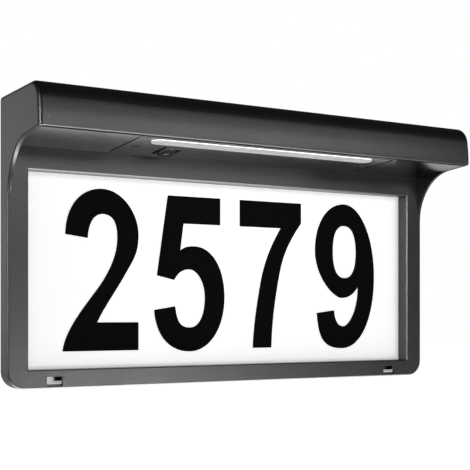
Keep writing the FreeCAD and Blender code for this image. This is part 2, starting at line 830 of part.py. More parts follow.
def make_underside_cover():
    """Sloping cover between the cheeks, with a sunk seat for the light module."""
    body = underside_body("underside_cover")
    edge = between_cheeks - mm.cover_play
    floor = sketch_on(body, "XY_Plane")
    reach = (hood_front - mm.bezel_depth) / cosine(mm.underside_slope) - mm.cover_play
    draw_box(floor, -edge, -reach, edge, mm.face_wall)
    pad(body, floor, mm.cover_wall)
    seat_half = module_half + mm.module_play
    seat_back = module_back - mm.module_play
    seat_front = module_front + mm.module_play
    rim = sketch_on(body, "XY_Plane")
    draw_box(rim, -(seat_half + mm.cover_rim), -(seat_front + mm.cover_rim),
             seat_half + mm.cover_rim, -(seat_back - mm.cover_rim))
    pad(body, rim, mm.cover_wall + mm.module_wall)
    seat = sketch_on(body, "XY_Plane")
    draw_box(seat, -seat_half, -seat_front, seat_half, -seat_back)
    cut(body, seat, mm.module_wall, reverse=True)
    opening = sketch_on(body, "XY_Plane")
    ear_half = screw_x + mm.box_ear_radius + mm.cover_play
    draw_box(opening, -ear_half, -(box_front + mm.cover_play), ear_half,
             -(box_back - mm.cover_play))
    cut(body, opening, (mm.cover_wall + mm.module_wall) * 2, reverse=True)
    return body


def make_module_plate():
    """Visible plate of the light module: light slot, switch cut-out, two sunk screw holes."""
    body = underside_body("module_plate")
    half = module_half
    plate = sketch_on(body, "XY_Plane")
    draw_box(plate, -half, -module_front, half, -module_back)
    pad(body, plate, mm.module_wall)
    seats = sketch_on(body, "XY_Plane")
    posts = sketch_on(body, "XY_Plane")
    holes = sketch_on(body, "XY_Plane")
    sinks = sketch_on(body, "XY_Plane")
    for side in (-1, 1):
        x = side * screw_x
        draw_circle(seats, x, -mm.module_screw_ahead, mm.boss_radius)
        draw_circle(holes, x, -mm.module_screw_ahead, mm.screw_radius + mm.screw_play)
        draw_circle(sinks, x, -mm.module_screw_ahead, mm.screw_head_radius + mm.screw_play)
    for x in (mm.board_start + mm.boss_radius, mm.board_start + mm.board_length - mm.boss_radius):
        draw_circle(posts, x, -(mm.board_back + mm.board_depth / 2), mm.screw_radius)
    pad(body, seats, ear_base)
    pad(body, posts, mm.board_height)
    slot = sketch_on(body, "XY_Plane")
    draw_stadium(slot, mm.lens_length / 2 + mm.lens_play, -mm.lens_middle,
                 mm.lens_width + mm.lens_play * 2)
    cut(body, slot, mm.module_wall * 2, reverse=True)
    mouth = sketch_on(body, "XY_Plane")
    body_half = mm.switch_body_width / 2 + mm.switch_play
    draw_box(mouth, -mm.switch_offset - body_half,
             -(mm.switch_middle + mm.switch_body_length / 2 + mm.switch_play),
             -mm.switch_offset + body_half,
             -(mm.switch_middle - mm.switch_body_length / 2 - mm.switch_play))
    cut(body, mouth, mm.module_wall * 2, reverse=True)
    cut(body, holes, boss_end, reverse=True)
    cut(body, sinks, mm.screw_head_thickness + mm.screw_play, reverse=True)
    return body


def make_module_seal():
    """Rubber ring between the module plate and the rim of its box."""
    body = underside_body("module_seal")
    ring = sketch_on(body, "XY_Plane", mm.module_wall)
    draw_outline(ring, box_outline(0))
    draw_outline(ring, box_outline(-mm.box_wall))
    pad(body, ring, mm.gasket_thickness)
    return body


def make_module_box():
    """Box over the module: tall behind for the battery, low in front for the light bar."""
    body = underside_body("module_box")
    back_half = box_back_half
    front_half = box_front_half
    front = sketch_on(body, "XY_Plane", ear_base)
    draw_box(front, -front_half, -box_front, front_half, -box_step)
    pad(body, front, box_front_height - ear_base)
    back = sketch_on(body, "XY_Plane", ear_base)
    draw_box(back, -back_half, -(box_step + mm.box_wall), back_half, -box_back)
    pad(body, back, box_back_height - ear_base)
    ears = sketch_on(body, "XY_Plane", ear_base)
    half_ears = screw_x
    draw_box(ears, -(half_ears + mm.box_ear_radius), -(mm.module_screw_ahead + mm.box_ear_radius),
             half_ears + mm.box_ear_radius, -(mm.module_screw_ahead - mm.box_ear_radius))
    pad(body, ears, mm.box_ear_wall)
    wall = mm.box_wall
    hollow_front = sketch_on(body, "XY_Plane", ear_base)
    draw_outline(hollow_front, box_outline(-wall))
    cut(body, hollow_front, box_front_height - wall - ear_base, reverse=True)
    hollow_back = sketch_on(body, "XY_Plane", ear_base)
    draw_box(hollow_back, -(back_half - wall), -box_step, back_half - wall, -(box_back + wall))
    cut(body, hollow_back, box_back_height - wall - ear_base, reverse=True)
    holes = sketch_on(body, "XY_Plane", ear_base)
    for side in (-1, 1):
        draw_circle(holes, side * half_ears, -mm.module_screw_ahead, mm.screw_radius + mm.screw_play)
    cut(body, holes, mm.box_ear_wall * 2, reverse=True)
    inlet = sketch_on(body, "XY_Plane", box_back_height)
    draw_circle(inlet, -mm.panel_lead_offset, -cell_middle, mm.lead_hole_radius)
    cut(body, inlet, wall * 2)
    clamps = sketch_on(body, "XY_Plane", led_board_base + mm.led_board_thickness)
    pitch = mm.lens_length / 3
    for step in (-1, 0, 1):
        draw_box(clamps, step * pitch - wall, -(mm.lens_middle + mm.lens_width / 2),
                 step * pitch + wall, -(mm.lens_middle - mm.lens_width / 2))
    pad(body, clamps, box_front_height - wall / 2 - led_board_base - mm.led_board_thickness)
    return body


def make_lens():
    """Milky light bar: it shows in the plate's slot and its flange rests on the seal."""
    body = underside_body("lens_bar")
    bar = sketch_on(body, "XY_Plane", -mm.lens_proud)
    draw_stadium(bar, mm.lens_length / 2, -mm.lens_middle, mm.lens_width)
    flange_base = mm.module_wall + mm.lens_seal_thickness
    pad(body, bar, mm.lens_proud + flange_base + mm.lens_flange_thickness)
    flange = sketch_on(body, "XY_Plane", flange_base)
    draw_stadium(flange, mm.lens_length / 2 + mm.lens_flange, -mm.lens_middle,
                 mm.lens_width + mm.lens_flange * 2)
    pad(body, flange, mm.lens_flange_thickness)
    return body


def make_lens_seal():
    body = underside_body("lens_seal")
    ring = sketch_on(body, "XY_Plane", mm.module_wall)
    draw_stadium(ring, mm.lens_length / 2 + mm.lens_flange, -mm.lens_middle,
                 mm.lens_width + mm.lens_flange * 2)
    draw_stadium(ring, mm.lens_length / 2 + mm.lens_play, -mm.lens_middle,
                 mm.lens_width + mm.lens_play * 2)
    pad(body, ring, mm.lens_seal_thickness)
    return body


def make_reflector():
    """White trough between the light bar and the light board; it presses the flange down."""
    body = underside_body("reflector")
    base = mm.module_wall + mm.lens_seal_thickness + mm.lens_flange_thickness
    half = mm.lens_length / 2 + mm.lens_flange
    block = sketch_on(body, "XY_Plane", base)
    draw_box(block, -half, -(mm.lens_middle + lens_deep), half, -(mm.lens_middle - lens_deep))
    pad(body, block, mm.reflector_height)
    trough = sketch_on(body, "XY_Plane", base)
    wall = mm.reflector_wall
    draw_box(trough, -(half - wall), -(mm.lens_middle + lens_deep - wall), half - wall,
             -(mm.lens_middle - lens_deep + wall))
    cut(body, trough, mm.reflector_height * 2, reverse=True)
    return body


def block_under(name, left, low, base, length, depth, height):
    """A rectangular block in the underside frame; low is its y, counted from the bezel."""
    block = doc.addObject("Part::Box", name)
    block.Label = name
    for path, value in (("Length", length), ("Width", depth), ("Height", height)):
        bind(block, path, value)
    low = measure(low)
    base = measure(base)
    y, z = in_row(-low, base)
    lean(block, mm.underside_slope, y, z, left)
    return block


def rod_under(name, x, y, base, radius, height):
    """A round rod square to the underside."""
    rod = doc.addObject("Part::Cylinder", name)
    rod.Label = name
    bind(rod, "Radius", radius)
    bind(rod, "Height", height)
    row_y, row_z = in_row(-measure(y), measure(base))
    lean(rod, mm.underside_slope, row_y, row_z, x)
    return rod


def group_of(name, pieces):
    """Identical or related small solids in one node."""
    group = doc.addObject("Part::Compound", name)
    group.Label = name
    group.Links = pieces
    return group


def make_led_board():
    half = mm.lens_length / 2 + mm.lens_flange
    return block_under("led_board", -half, -(mm.lens_middle + lens_deep), led_board_base, half * 2,
                       lens_deep * 2, mm.led_board_thickness)


def make_leds():
    """One row of light-emitting diodes on the lower face of the board."""
    count = int((SIZES["lens_length"] - 2 * SIZES["led_pitch"]) // SIZES["led_pitch"]) + 1
    pieces = []
    for i in range(count):
        x = (i - (count - 1) / 2) * mm.led_pitch - mm.led_length / 2
        pieces.append(block_under(f"led_{i + 1}", x, -(mm.lens_middle + mm.led_width / 2),
                                  led_board_base - mm.led_thickness, mm.led_length, mm.led_width,
                                  mm.led_thickness))
    return group_of("leds", pieces)


def make_module_screws():
    """Two pan-head screws that hold plate, box and cover to the hood."""
    pieces = []
    for i, side in enumerate((-1, 1), start=1):
        x = side * screw_x
        y = -mm.module_screw_ahead
        base = mm.screw_play
        head = rod_under(f"screw_head_{i}", x, y, base, mm.screw_head_radius, mm.screw_head_thickness)
        shank = rod_under(f"screw_shank_{i}", x, y, base, mm.screw_radius, mm.screw_length)
        screw = doc.addObject("Part::MultiFuse", f"screw_{i}")
        screw.Shapes = [head, shank]
        pieces.append(screw)
    return group_of("module_screws", pieces)


# the rocker switch ---------------------------------------------------------------------------
def make_switch_body():
    """Snap-in switch frame with a flange on the plate and bearings for the rocker's pins."""
    body = underside_body("switch_body")
    centre = -mm.switch_middle
    half_flange = mm.switch_width / 2
    half_body = mm.switch_body_width / 2
    flange = sketch_on(body, "XY_Plane", -mm.switch_flange)
    draw_box(flange, -mm.switch_offset - half_flange, centre - mm.switch_length / 2,
             -mm.switch_offset + half_flange, centre + mm.switch_length / 2)
    pad(body, flange, mm.switch_flange)
    case = sketch_on(body, "XY_Plane", -mm.switch_flange)
    draw_box(case, -mm.switch_offset - half_body, centre - mm.switch_body_length / 2,
             -mm.switch_offset + half_body, centre + mm.switch_body_length / 2)
    pad(body, case, mm.switch_flange + mm.switch_body_height)
    well = sketch_on(body, "XY_Plane", -mm.switch_flange)
    inner_half = half_body - mm.switch_wall
    inner_deep = mm.switch_body_length / 2 - mm.switch_wall
    draw_box(well, -mm.switch_offset - inner_half, centre - inner_deep,
             -mm.switch_offset + inner_half, centre + inner_deep)
    cut(body, well, mm.switch_flange + mm.rocker_pivot_height + mm.rocker_half_length / 2, reverse=True)
    bearing = sketch_on(body, "YZ_Plane", -mm.switch_offset)
    draw_circle(bearing, centre, mm.rocker_pivot_height, mm.pin_radius + mm.pin_play)
    cut(body, bearing, mm.switch_body_width * 2, middle=True)
    return body


def make_switch_rocker():
    """Rocker on its pins; at rest its rear half stands out and its front half is pressed in."""
    body = doc.addObject("PartDesign::Body", "switch_rocker")
    body.Label = "switch_rocker"
    y, z = in_row(mm.switch_middle, mm.rocker_pivot_height)
    lean(body, mm.underside_slope + mm.rocker_tilt, y, z, -mm.switch_offset)
    reach = mm.rocker_half_length
    side = sketch_on(body, "YZ_Plane")
    draw_outline(side, [(-reach, -mm.rocker_tip), (0, -mm.rocker_waist), (reach, -mm.rocker_tip),
                        (reach, 0), (reach / 2, mm.rocker_crown), (-reach / 2, mm.rocker_crown),
                        (-reach, 0)])
    inner = mm.switch_body_width - mm.switch_wall * 2
    pad(body, side, inner - mm.rocker_play * 2, middle=True)
    pins = sketch_on(body, "YZ_Plane")
    draw_circle(pins, 0, 0, mm.pin_radius)
    pad(body, pins, mm.switch_body_width - mm.rocker_play, middle=True)
    return body


def make_switch_terminals():
    """Two blades that leave the switch towards the box."""
    pieces = []
    for i, side in enumerate((-1, 1), start=1):
        y = -mm.switch_middle + side * mm.terminal_pitch / 2 - mm.terminal_thickness / 2
        pieces.append(block_under(f"terminal_{i}", -mm.switch_offset - mm.terminal_width / 2, y,
                                  mm.switch_body_height, mm.terminal_width, mm.terminal_thickness,
                                  mm.terminal_length))
    return group_of("switch_terminals", pieces)


# battery and control board -------------------------------------------------------------------
cradle_start = mm.cell_start - mm.contact_bulge - mm.contact_thickness - mm.cradle_end_wall
cradle_length = (mm.cell_length + (mm.contact_bulge + mm.contact_thickness + mm.cradle_end_wall) * 2)


def make_battery_cradle():
    """Cradle under the cell: a curved seat between two end walls."""
    body = underside_body("battery_cradle")
    reach = mm.cell_radius
    base = sketch_on(body, "XY_Plane", mm.module_wall)
    draw_box(base, cradle_start, -(cell_middle + reach), cradle_start + cradle_length,
             -(cell_middle - reach))
    pad(body, base, mm.cradle_height)
    middle = cradle_start + cradle_length / 2
    ends = sketch_on(body, "YZ_Plane", cradle_start)
    draw_box(ends, -(cell_middle + reach / 2), mm.module_wall, -(cell_middle - reach / 2),
             cell_height + mm.cradle_floor * 2)
    pad(body, ends, cradle_length)
    seat = sketch_on(body, "YZ_Plane", middle)
    draw_circle(seat, -cell_middle, cell_height, mm.cell_radius + mm.cell_play)
    cut(body, seat, cradle_length - mm.cradle_end_wall * 2, middle=True)
    return body


def make_battery_cell():
    cell = doc.addObject("Part::Cylinder", "battery_cell")
    cell.Label = "battery_cell"
    bind(cell, "Radius", mm.cell_radius)
    bind(cell, "Height", mm.cell_length)
    y, z = in_row(cell_middle, cell_height)
    cell.Placement = FreeCAD.Placement(FreeCAD.Vector(mm.cell_start.number, y.number, z.number),
                                       FreeCAD.Rotation(FreeCAD.Vector(0, 1, 0), 90))
    shift_of(cell, mm.cell_start, y, z)
    return cell


def make_battery_contacts():
    """A nickel plate with a domed button at each end of the cell."""
    pieces = []
    y, z = in_row(cell_middle, cell_height)
    reach = mm.cell_radius / 2 - mm.cell_play
    first = cradle_start + mm.cradle_end_wall
    last = cradle_start + cradle_length - mm.cradle_end_wall - mm.contact_thickness
    for i, (left, bulge_at) in enumerate(((first, first + mm.contact_thickness),
                                          (last, last - mm.contact_bulge)), start=1):
        plate = block_under(f"contact_plate_{i}", left, -(cell_middle + reach),
                            cell_height - reach, mm.contact_thickness, reach * 2,
                            reach + mm.cradle_floor * 2)
        button = doc.addObject("Part::Cylinder", f"contact_button_{i}")
        bind(button, "Radius", reach / 2)
        bind(button, "Height", mm.contact_bulge)
        button.Placement = FreeCAD.Placement(
            FreeCAD.Vector(bulge_at.number, y.number, z.number),
            FreeCAD.Rotation(FreeCAD.Vector(0, 1, 0), 90))
        shift_of(button, bulge_at, y, z)
        contact = doc.addObject("Part::MultiFuse", f"contact_{i}")
        contact.Shapes = [plate, button]
        pieces.append(contact)
    return group_of("battery_contacts", pieces)


def make_control_board():
    return block_under("control_board", mm.board_start, -(mm.board_back + mm.board_depth),
                       mm.board_height, mm.board_length, mm.board_depth, mm.board_thickness)


board_top = mm.board_height + mm.board_thickness
board_end = mm.board_start + mm.board_length
board_front = -(mm.board_back + mm.board_depth)
board_middle = -(mm.board_back + mm.board_depth / 2)
light_lead_at = mm.board_start + mm.light_lead_place


def make_control_parts():
    """Chip, coil, capacitor and the four lead sockets on the board."""
    margin = mm.part_margin
    long = mm.socket_length
    wide = mm.socket_width
    tall = mm.socket_height
    parts_at = mm.board_start + mm.chip_place
    coil_low = -mm.board_back - margin - mm.coil_side
    switch_low = -mm.switch_middle - mm.terminal_pitch / 2 - margin
    return group_of("control_parts", [
        block_under("charge_chip", parts_at, board_front + margin * 2, board_top, mm.chip_length,
                    mm.chip_width, mm.chip_height),
        block_under("boost_coil", parts_at, coil_low, board_top, mm.coil_side, mm.coil_side,
                    mm.coil_height),
        rod_under("capacitor", mm.board_start + mm.capacitor_place,
                  board_front + mm.capacitor_radius + margin, board_top, mm.capacitor_radius,
                  mm.capacitor_height),
        block_under("panel_socket", -mm.panel_lead_offset - long / 2, -cell_middle - wide / 2,
                    board_top, long, wide, tall),
        block_under("battery_socket", board_end - margin - wide, board_middle - long / 2, board_top,
                    wide, long, tall),
        block_under("switch_socket", mm.board_start + margin, switch_low, board_top, wide,
                    mm.terminal_pitch + margin * 2, tall),
        block_under("light_socket", light_lead_at - long / 2, board_front + margin / 2, board_top,
                    long, wide, tall),
    ])


# leads ---------------------------------------------------------------------------------------
def lead_of(name, routes):
    """Leads in the underside frame: each route is straight runs joined by tangent arcs."""
    bend = mm.lead_bend.number
    radius = mm.lead_radius.number
    tubes = []
    for route in routes:
        corners = [FreeCAD.Vector(*(measure(value).number for value in point)) for point in route]
        edges = []
        start = corners[0]
        for i in range(1, len(corners) - 1):
            centre, leave, join = corner_arc(corners[i - 1], corners[i], corners[i + 1], bend)
            crest = centre + (corners[i] - centre).normalize() * bend
            edges.append(Part.LineSegment(start, leave).toShape())
            edges.append(Part.Arc(leave, crest, join).toShape())
            start = join
        edges.append(Part.LineSegment(start, corners[-1]).toShape())
        path = Part.Wire(edges)
        ring = Part.Wire(Part.Circle(corners[0], corners[1] - corners[0], radius).toShape())
        tube = path.makePipeShell([ring], True, False)
        wanted = math.pi * radius ** 2 * path.Length
        if abs(tube.Volume - wanted) > wanted * 0.02:
            raise RuntimeError(f"{name} has lost part of its section")
        print(f"{name}: {path.Length:.1f} mm long, bends of {bend:g} mm")
        tubes.append(tube)
    lead = doc.addObject("Part::Feature", name)
    lead.Label = name
    lead.Shape = tubes[0] if len(tubes) == 1 else Part.makeCompound(tubes)
    lean(lead, mm.underside_slope, -mm.bezel_depth, underside_start - origin_height)
    return lead


def make_panel_lead():
    """From the solar panel's board straight down through the grommet to its socket."""
    slope = mm.underside_slope
    board_under = mm.sign_height - mm.panel_recess + mm.panel_seal_thickness
    top = ((board_under - underside_start - cell_middle * sine(slope)) / cosine(slope)
           - mm.lead_radius * tangent(slope) * 2)
    x = -mm.panel_lead_offset
    return lead_of("panel_lead", [[(x, -cell_middle, board_top + mm.socket_height),
                                   (x, -cell_middle, top)]])


def make_battery_lead():
    """From its socket straight to the contact behind the end wall of the cell's cradle."""
    height = board_top + mm.socket_height / 2
    return lead_of("battery_lead", [[(board_end - mm.part_margin, board_middle, height),
                                     (cradle_start, board_middle, height)]])


def make_switch_lead():
    """One wire from each blade of the switch down into the switch's socket."""
    routes = []
    high = mm.switch_body_height + mm.terminal_length * 0.7
    down = mm.board_start + mm.part_margin + mm.socket_width / 2
    for side in (-1, 1):
        y = -mm.switch_middle + side * mm.terminal_pitch / 2
        routes.append([(-mm.switch_offset + mm.terminal_width / 2, y, high), (down, y, high),
                       (down, y, board_top + mm.socket_height)])
    return lead_of("switch_lead", routes)


def make_light_lead():
    """Short bridge from the light's socket to the edge of the light board."""
    height = led_board_base + mm.led_board_thickness / 2
    return lead_of("light_lead", [[(light_lead_at, board_front + mm.part_margin / 2, height),
                                   (light_lead_at, lens_deep - mm.lens_middle, height)]])


def make_lead_grommet():
    """Rubber grommet in the box's roof, gripping the wall between two collars."""
    body = doc.addObject("PartDesign::Body", "lead_grommet")
    body.Label = "lead_grommet"
    y, z = in_row(cell_middle, box_back_height)
    lean(body, mm.underside_slope, y, z, -mm.panel_lead_offset)
    bore = mm.lead_radius + mm.grommet_play
    neck = mm.lead_hole_radius - mm.grommet_play
    collar = mm.lead_hole_radius + mm.grommet_collar
    wall = mm.box_wall + mm.grommet_play
    half = sketch_on(body, "XZ_Plane")
    draw_outline(half, [(bore, -(wall + mm.grommet_wall)), (collar, -(wall + mm.grommet_wall)),
                        (collar, -wall), (neck, -wall), (neck, mm.grommet_play),
                        (collar, mm.grommet_play), (collar, mm.grommet_wall),
                        (bore, mm.grommet_wall)])
    turned = body.newObject("PartDesign::Revolution", "turned")
    turned.Profile = half
    turned.ReferenceAxis = (half, ["V_Axis"])
    turned.Angle = 360
    return body


# the solar panel -----------------------------------------------------------------------------
def roof_block(name, left, half_depth, base, length, height):
    """A flat block in the roof's recess, from left along X, centred on the panel's middle."""
    block = doc.addObject("Part::Box", name)
    block.Label = name
    for path, value in (("Length", length), ("Width", half_depth * 2), ("Height", height)):
        bind(block, path, value)
    y = -(mm.panel_middle + half_depth)
    z = base - origin_height
    left = measure(left)
    block.Placement = FreeCAD.Placement(FreeCAD.Vector(left.number, y.number, z.number),
                                        FreeCAD.Rotation())
    shift_of(block, left, y, z)
    return block


panel_half = mm.panel_width / 2 - mm.panel_play
panel_deep = mm.panel_depth / 2 - mm.panel_play
seal_base = mm.sign_height - mm.panel_recess
panel_base = seal_base + mm.panel_seal_thickness
cells_base = panel_base + mm.panel_board_thickness
cover_base = cells_base + mm.cell_sheet_thickness


def make_panel_seal():
    """Foam ring that glues the panel's rim to the floor of the recess."""
    body = wall_body("panel_seal")
    ring = sketch_on(body, "XY_Plane", seal_base)
    middle = -mm.panel_middle
    for shrink in (0, mm.panel_seal_width):
        half = panel_half - shrink
        deep = panel_deep - shrink
        draw_box(ring, -half, middle - deep, half, middle + deep)
    pad(body, ring, mm.panel_seal_thickness)
    return body


def make_solar_board():
    return roof_block("solar_board", -panel_half, panel_deep, panel_base, panel_half * 2,
                      mm.panel_board_thickness)


def make_solar_cells():
    """A row of thin cells on the panel's board."""
    count = int(SIZES["cell_strip_count"])
    pitch = (panel_half - mm.panel_seal_width) * 2 / count
    pieces = []
    for i in range(count):
        left = pitch * (i - count / 2) + mm.cell_strip_gap / 2
        pieces.append(roof_block(f"solar_cell_{i + 1}", left, panel_deep - mm.panel_seal_width,
                                 cells_base, pitch - mm.cell_strip_gap, mm.cell_sheet_thickness))
    return group_of("solar_cells", pieces)


def make_solar_cover():
    return roof_block("solar_cover", -panel_half, panel_deep, cover_base, panel_half * 2,
                      mm.panel_cover_thickness)


if __name__ == "__main__":
    makers = [make_front_housing, make_number_plate, make_underside_cover, make_module_plate,
              make_module_seal, make_module_box, make_lens, make_lens_seal, make_reflector,
              make_led_board, make_leds, make_module_screws, make_switch_body, make_switch_rocker,
              make_switch_terminals, make_battery_cradle, make_battery_cell,
              make_battery_contacts, make_control_board, make_control_parts, make_panel_lead,
              make_battery_lead, make_switch_lead, make_light_lead, make_lead_grommet,
              make_panel_seal, make_solar_board, make_solar_cells, make_solar_cover]
    nodes = [maker() for maker in makers]
    doc.recompute()
    for thing in doc.Objects:
        if "Invalid" in thing.State or "Error" in thing.State:
            raise RuntimeError(f"{thing.Label} failed: {thing.State}")
    os.makedirs("parts", exist_ok=True)
    for node in nodes:
        shape = node.Shape
        if shape.isNull() or not shape.isValid():
            raise RuntimeError(f"{node.Label} has no valid shape")
        shape.exportStep(os.path.join("parts", f"{node.Label}.step"))
        box = shape.BoundBox
        print(f"{node.Label}: {len(shape.Solids)} solids, {shape.Volume:.0f} mm3, "
              f"x {box.XMin:.1f}..{box.XMax:.1f} y {box.YMin:.1f}..{box.YMax:.1f} "
              f"z {box.ZMin:.1f}..{box.ZMax:.1f}")
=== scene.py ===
# %% [markdown]
# # A hooded house number sign
# The sign is a black moulding with a white number panel inside a raised bezel. A hood
# above the panel holds a light bar and a small rocker switch, and its roof carries a
# solar panel. The solid parts come ready made from the construction model. This lesson
# gives them their finishes, adds the thin and fine pieces, and sets up the studio.

import math

import bmesh
import bpy
from mathutils import Matrix, Vector
from mathutils.bvhtree import BVHTree


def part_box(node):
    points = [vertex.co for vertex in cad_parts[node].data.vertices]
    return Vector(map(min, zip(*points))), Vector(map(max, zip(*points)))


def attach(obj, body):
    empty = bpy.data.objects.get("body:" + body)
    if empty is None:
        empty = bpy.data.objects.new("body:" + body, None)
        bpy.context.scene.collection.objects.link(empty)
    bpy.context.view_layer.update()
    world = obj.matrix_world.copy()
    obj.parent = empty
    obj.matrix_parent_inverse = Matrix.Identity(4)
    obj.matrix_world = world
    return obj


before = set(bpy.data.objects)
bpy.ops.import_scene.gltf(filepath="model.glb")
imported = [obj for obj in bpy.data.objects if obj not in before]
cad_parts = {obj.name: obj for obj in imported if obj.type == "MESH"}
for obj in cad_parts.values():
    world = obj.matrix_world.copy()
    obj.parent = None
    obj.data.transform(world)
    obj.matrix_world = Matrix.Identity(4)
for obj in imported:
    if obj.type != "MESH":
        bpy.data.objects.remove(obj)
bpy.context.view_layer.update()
MM = 0.001
sign_low, sign_high = map(Vector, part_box("front_housing"))
print("sign, mm:", [round(side / MM, 1) for side in sign_high - sign_low])

# %% [markdown]
# ## The studio
# A sign like this hangs on a wall, and is shown on plain white. The pale floor lies a
# little below it. It is a matt surface that keeps a soft shadow, and it glows like a
# light table, which lifts the lower edges of the black moulding.

# %% The floor
floor_reach = 8.0
floor_drop = 0.26
floor_level = sign_low.z - floor_drop


def put_in_scene(name, shape):
    """Turn a finished bmesh into an object at the origin."""
    mesh = bpy.data.meshes.new(name)
    shape.to_mesh(mesh)
    shape.free()
    thing = bpy.data.objects.new(name, mesh)
    bpy.context.scene.collection.objects.link(thing)
    return thing


shape = bmesh.new()
bmesh.ops.create_grid(shape, x_segments=1, y_segments=1, size=floor_reach)
bmesh.ops.translate(shape, verts=shape.verts, vec=(0, 0, floor_level))
floor = put_in_scene("studio_floor", shape)
print("floor at z, mm:", round(floor_level / MM, 1))

# %% [markdown]
# A finish is drawn by shader nodes, and a few short helpers save most of the wiring. Each
# takes the node tree that it adds to. A value can be another node's socket, a plain
# number or a colour of three numbers.

# %% Helpers for shader nodes


def feed(tree, socket, value):
    """Feed a socket from another socket, a plain number or a colour."""
    if isinstance(value, tuple):
        socket.default_value = (*value, 1)
    elif isinstance(value, (int, float)):
        socket.default_value = value
    else:
        tree.links.new(value, socket)


def math_node(tree, operation, *values):
    """The result of a Math node."""
    node = tree.nodes.new("ShaderNodeMath")
    node.operation = operation
    for socket, value in zip(node.inputs, values):
        feed(tree, socket, value)
    return node.outputs[0]


def ramp(tree, value, from_low, from_high, to_low, to_high, smooth=True):
    """A value mapped from one range to another, and held at its ends."""
    node = tree.nodes.new("ShaderNodeMapRange")
    node.interpolation_type = "SMOOTHSTEP" if smooth else "LINEAR"
    node.inputs["From Min"].default_value = from_low
    node.inputs["From Max"].default_value = from_high
    node.inputs["To Min"].default_value = to_low
    node.inputs["To Max"].default_value = to_high
    tree.links.new(value, node.inputs["Value"])
    return node.outputs[0]


def choose(tree, mask, otherwise, chosen):
    """One plain number where the mask is 1, and another where it is 0."""
    return ramp(tree, mask, 0, 1, otherwise, chosen, smooth=False)


def mix_colours(tree, mask, first, second):
    """The first colour where the mask is 0, the second where it is 1."""
    node = tree.nodes.new("ShaderNodeMix")
    node.data_type = "RGBA"
    tree.links.new(mask, node.inputs["Factor"])
    colour_inputs = [socket for socket in node.inputs if socket.type == "RGBA"]
    for socket, value in zip(colour_inputs, (first, second)):
        feed(tree, socket, value)
    return [socket for socket in node.outputs if socket.type == "RGBA"][0]


def object_place(tree):
    """Object coordinates, which sit still on the surface."""
    return tree.nodes.new("ShaderNodeTexCoord").outputs["Object"]


def axes(tree, vector):
    """The outputs X, Y and Z of a vector."""
    split = tree.nodes.new("ShaderNodeSeparateXYZ")
    tree.links.new(vector, split.inputs[0])
    return split.outputs


# %% [markdown]
# Light Path tells a shader what kind of ray asks. Two of its outputs added together make
# one mask, so that plain white shows to the camera and through clear plastic, while the
# rays that light the object, and those that it mirrors, get calmer levels.

# %% A mask for kinds of ray
clear_rays = ["Is Camera Ray", "Is Transmission Ray"]
gloss_rays = ["Is Glossy Ray"]


def seen_rays(tree, names):
    """A 0 to 1 mask for the named kinds of ray."""
    path = tree.nodes.new("ShaderNodeLightPath")
    mask = path.outputs[names[0]]
    for name in names[1:]:
        either = tree.nodes.new("ShaderNodeMath")
        either.operation = "ADD"
        either.use_clamp = True
        tree.links.new(mask, either.inputs[0])
        tree.links.new(path.outputs[name], either.inputs[1])
        mask = either.outputs[0]
    return mask


# %% [markdown]
# The floor's paint is a matt grey plus a glow. Straight under the sign lies a small pool
# of light that shows only in gloss: every bevel that faces down mirrors it as a thin
# bright line.

# %% The floor's paint
floor_grey = (0.75, 0.75, 0.75)
floor_glow_seen = 1.0
floor_glow_light = 0.42
pool_squeeze = (0.6, 1.3, 0)
pool_full = 0.16
pool_edge = 0.30
pool_glow = 12.0

floor_paint = bpy.data.materials.new("studio_floor_paint")
floor_paint.use_nodes = True
tree = floor_paint.node_tree
tree.nodes.clear()
squeezed = tree.nodes.new("ShaderNodeVectorMath")
squeezed.operation = "MULTIPLY"
squeezed.inputs[1].default_value = pool_squeeze
tree.links.new(object_place(tree), squeezed.inputs[0])
reach = tree.nodes.new("ShaderNodeVectorMath")
reach.operation = "LENGTH"
tree.links.new(squeezed.outputs[0], reach.inputs[0])
pool = ramp(
    tree, reach.outputs["Value"], pool_full, pool_edge, pool_glow, floor_glow_light
)
pool_in_gloss = math_node(tree, "MULTIPLY", pool, seen_rays(tree, gloss_rays))
plain_glow = choose(
    tree, seen_rays(tree, clear_rays), floor_glow_light, floor_glow_seen
)
glow = tree.nodes.new("ShaderNodeEmission")
glow_level = math_node(tree, "MAXIMUM", pool_in_gloss, plain_glow)
tree.links.new(glow_level, glow.inputs["Strength"])
matt = tree.nodes.new("ShaderNodeBsdfDiffuse")
feed(tree, matt.inputs["Color"], floor_grey)
both = tree.nodes.new("ShaderNodeAddShader")
tree.links.new(matt.outputs[0], both.inputs[0])
tree.links.new(glow.outputs[0], both.inputs[1])
surface_out = tree.nodes.new("ShaderNodeOutputMaterial")
tree.links.new(both.outputs[0], surface_out.inputs["Surface"])
floor.data.materials.append(floor_paint)
print("floor paint nodes:", len(tree.nodes))

# %% [markdown]
# The surroundings are white near the horizon. Overhead there is a dark ceiling, so the
# rounded top of the hood falls off to a deep black. A dark screen stands in front on the
# right and shows only in gloss: the bezel grows darker towards its right end. A tall
# bright card far to the left shows only in gloss too, and draws a line along each upright
# edge on that side. The camera itself sees plain white everywhere.

# %% The surroundings
ceiling_from = 0.10
ceiling_to = 0.46
ceiling_level = 0.04
screen_from = 0.30
screen_to = 0.72
screen_level = 0.06
front_level = 0.24
front_edge = 0.1
matt_level = 0.38
gloss_level = 0.72
card_x = -0.857
card_y = -0.515
card_half = 0.10
card_soft = 0.08
card_level = 22.0
card_side_from = -0.4
card_side_to = -0.2
card_top_from = 0.22
card_top_to = 0.36

world = bpy.data.worlds.new("studio_surroundings")
bpy.context.scene.world = world
world.use_nodes = True
tree = world.node_tree
tree.nodes.clear()
direction = tree.nodes.new("ShaderNodeTexCoord")
view = axes(tree, direction.outputs["Generated"])
in_gloss = seen_rays(tree, gloss_rays)

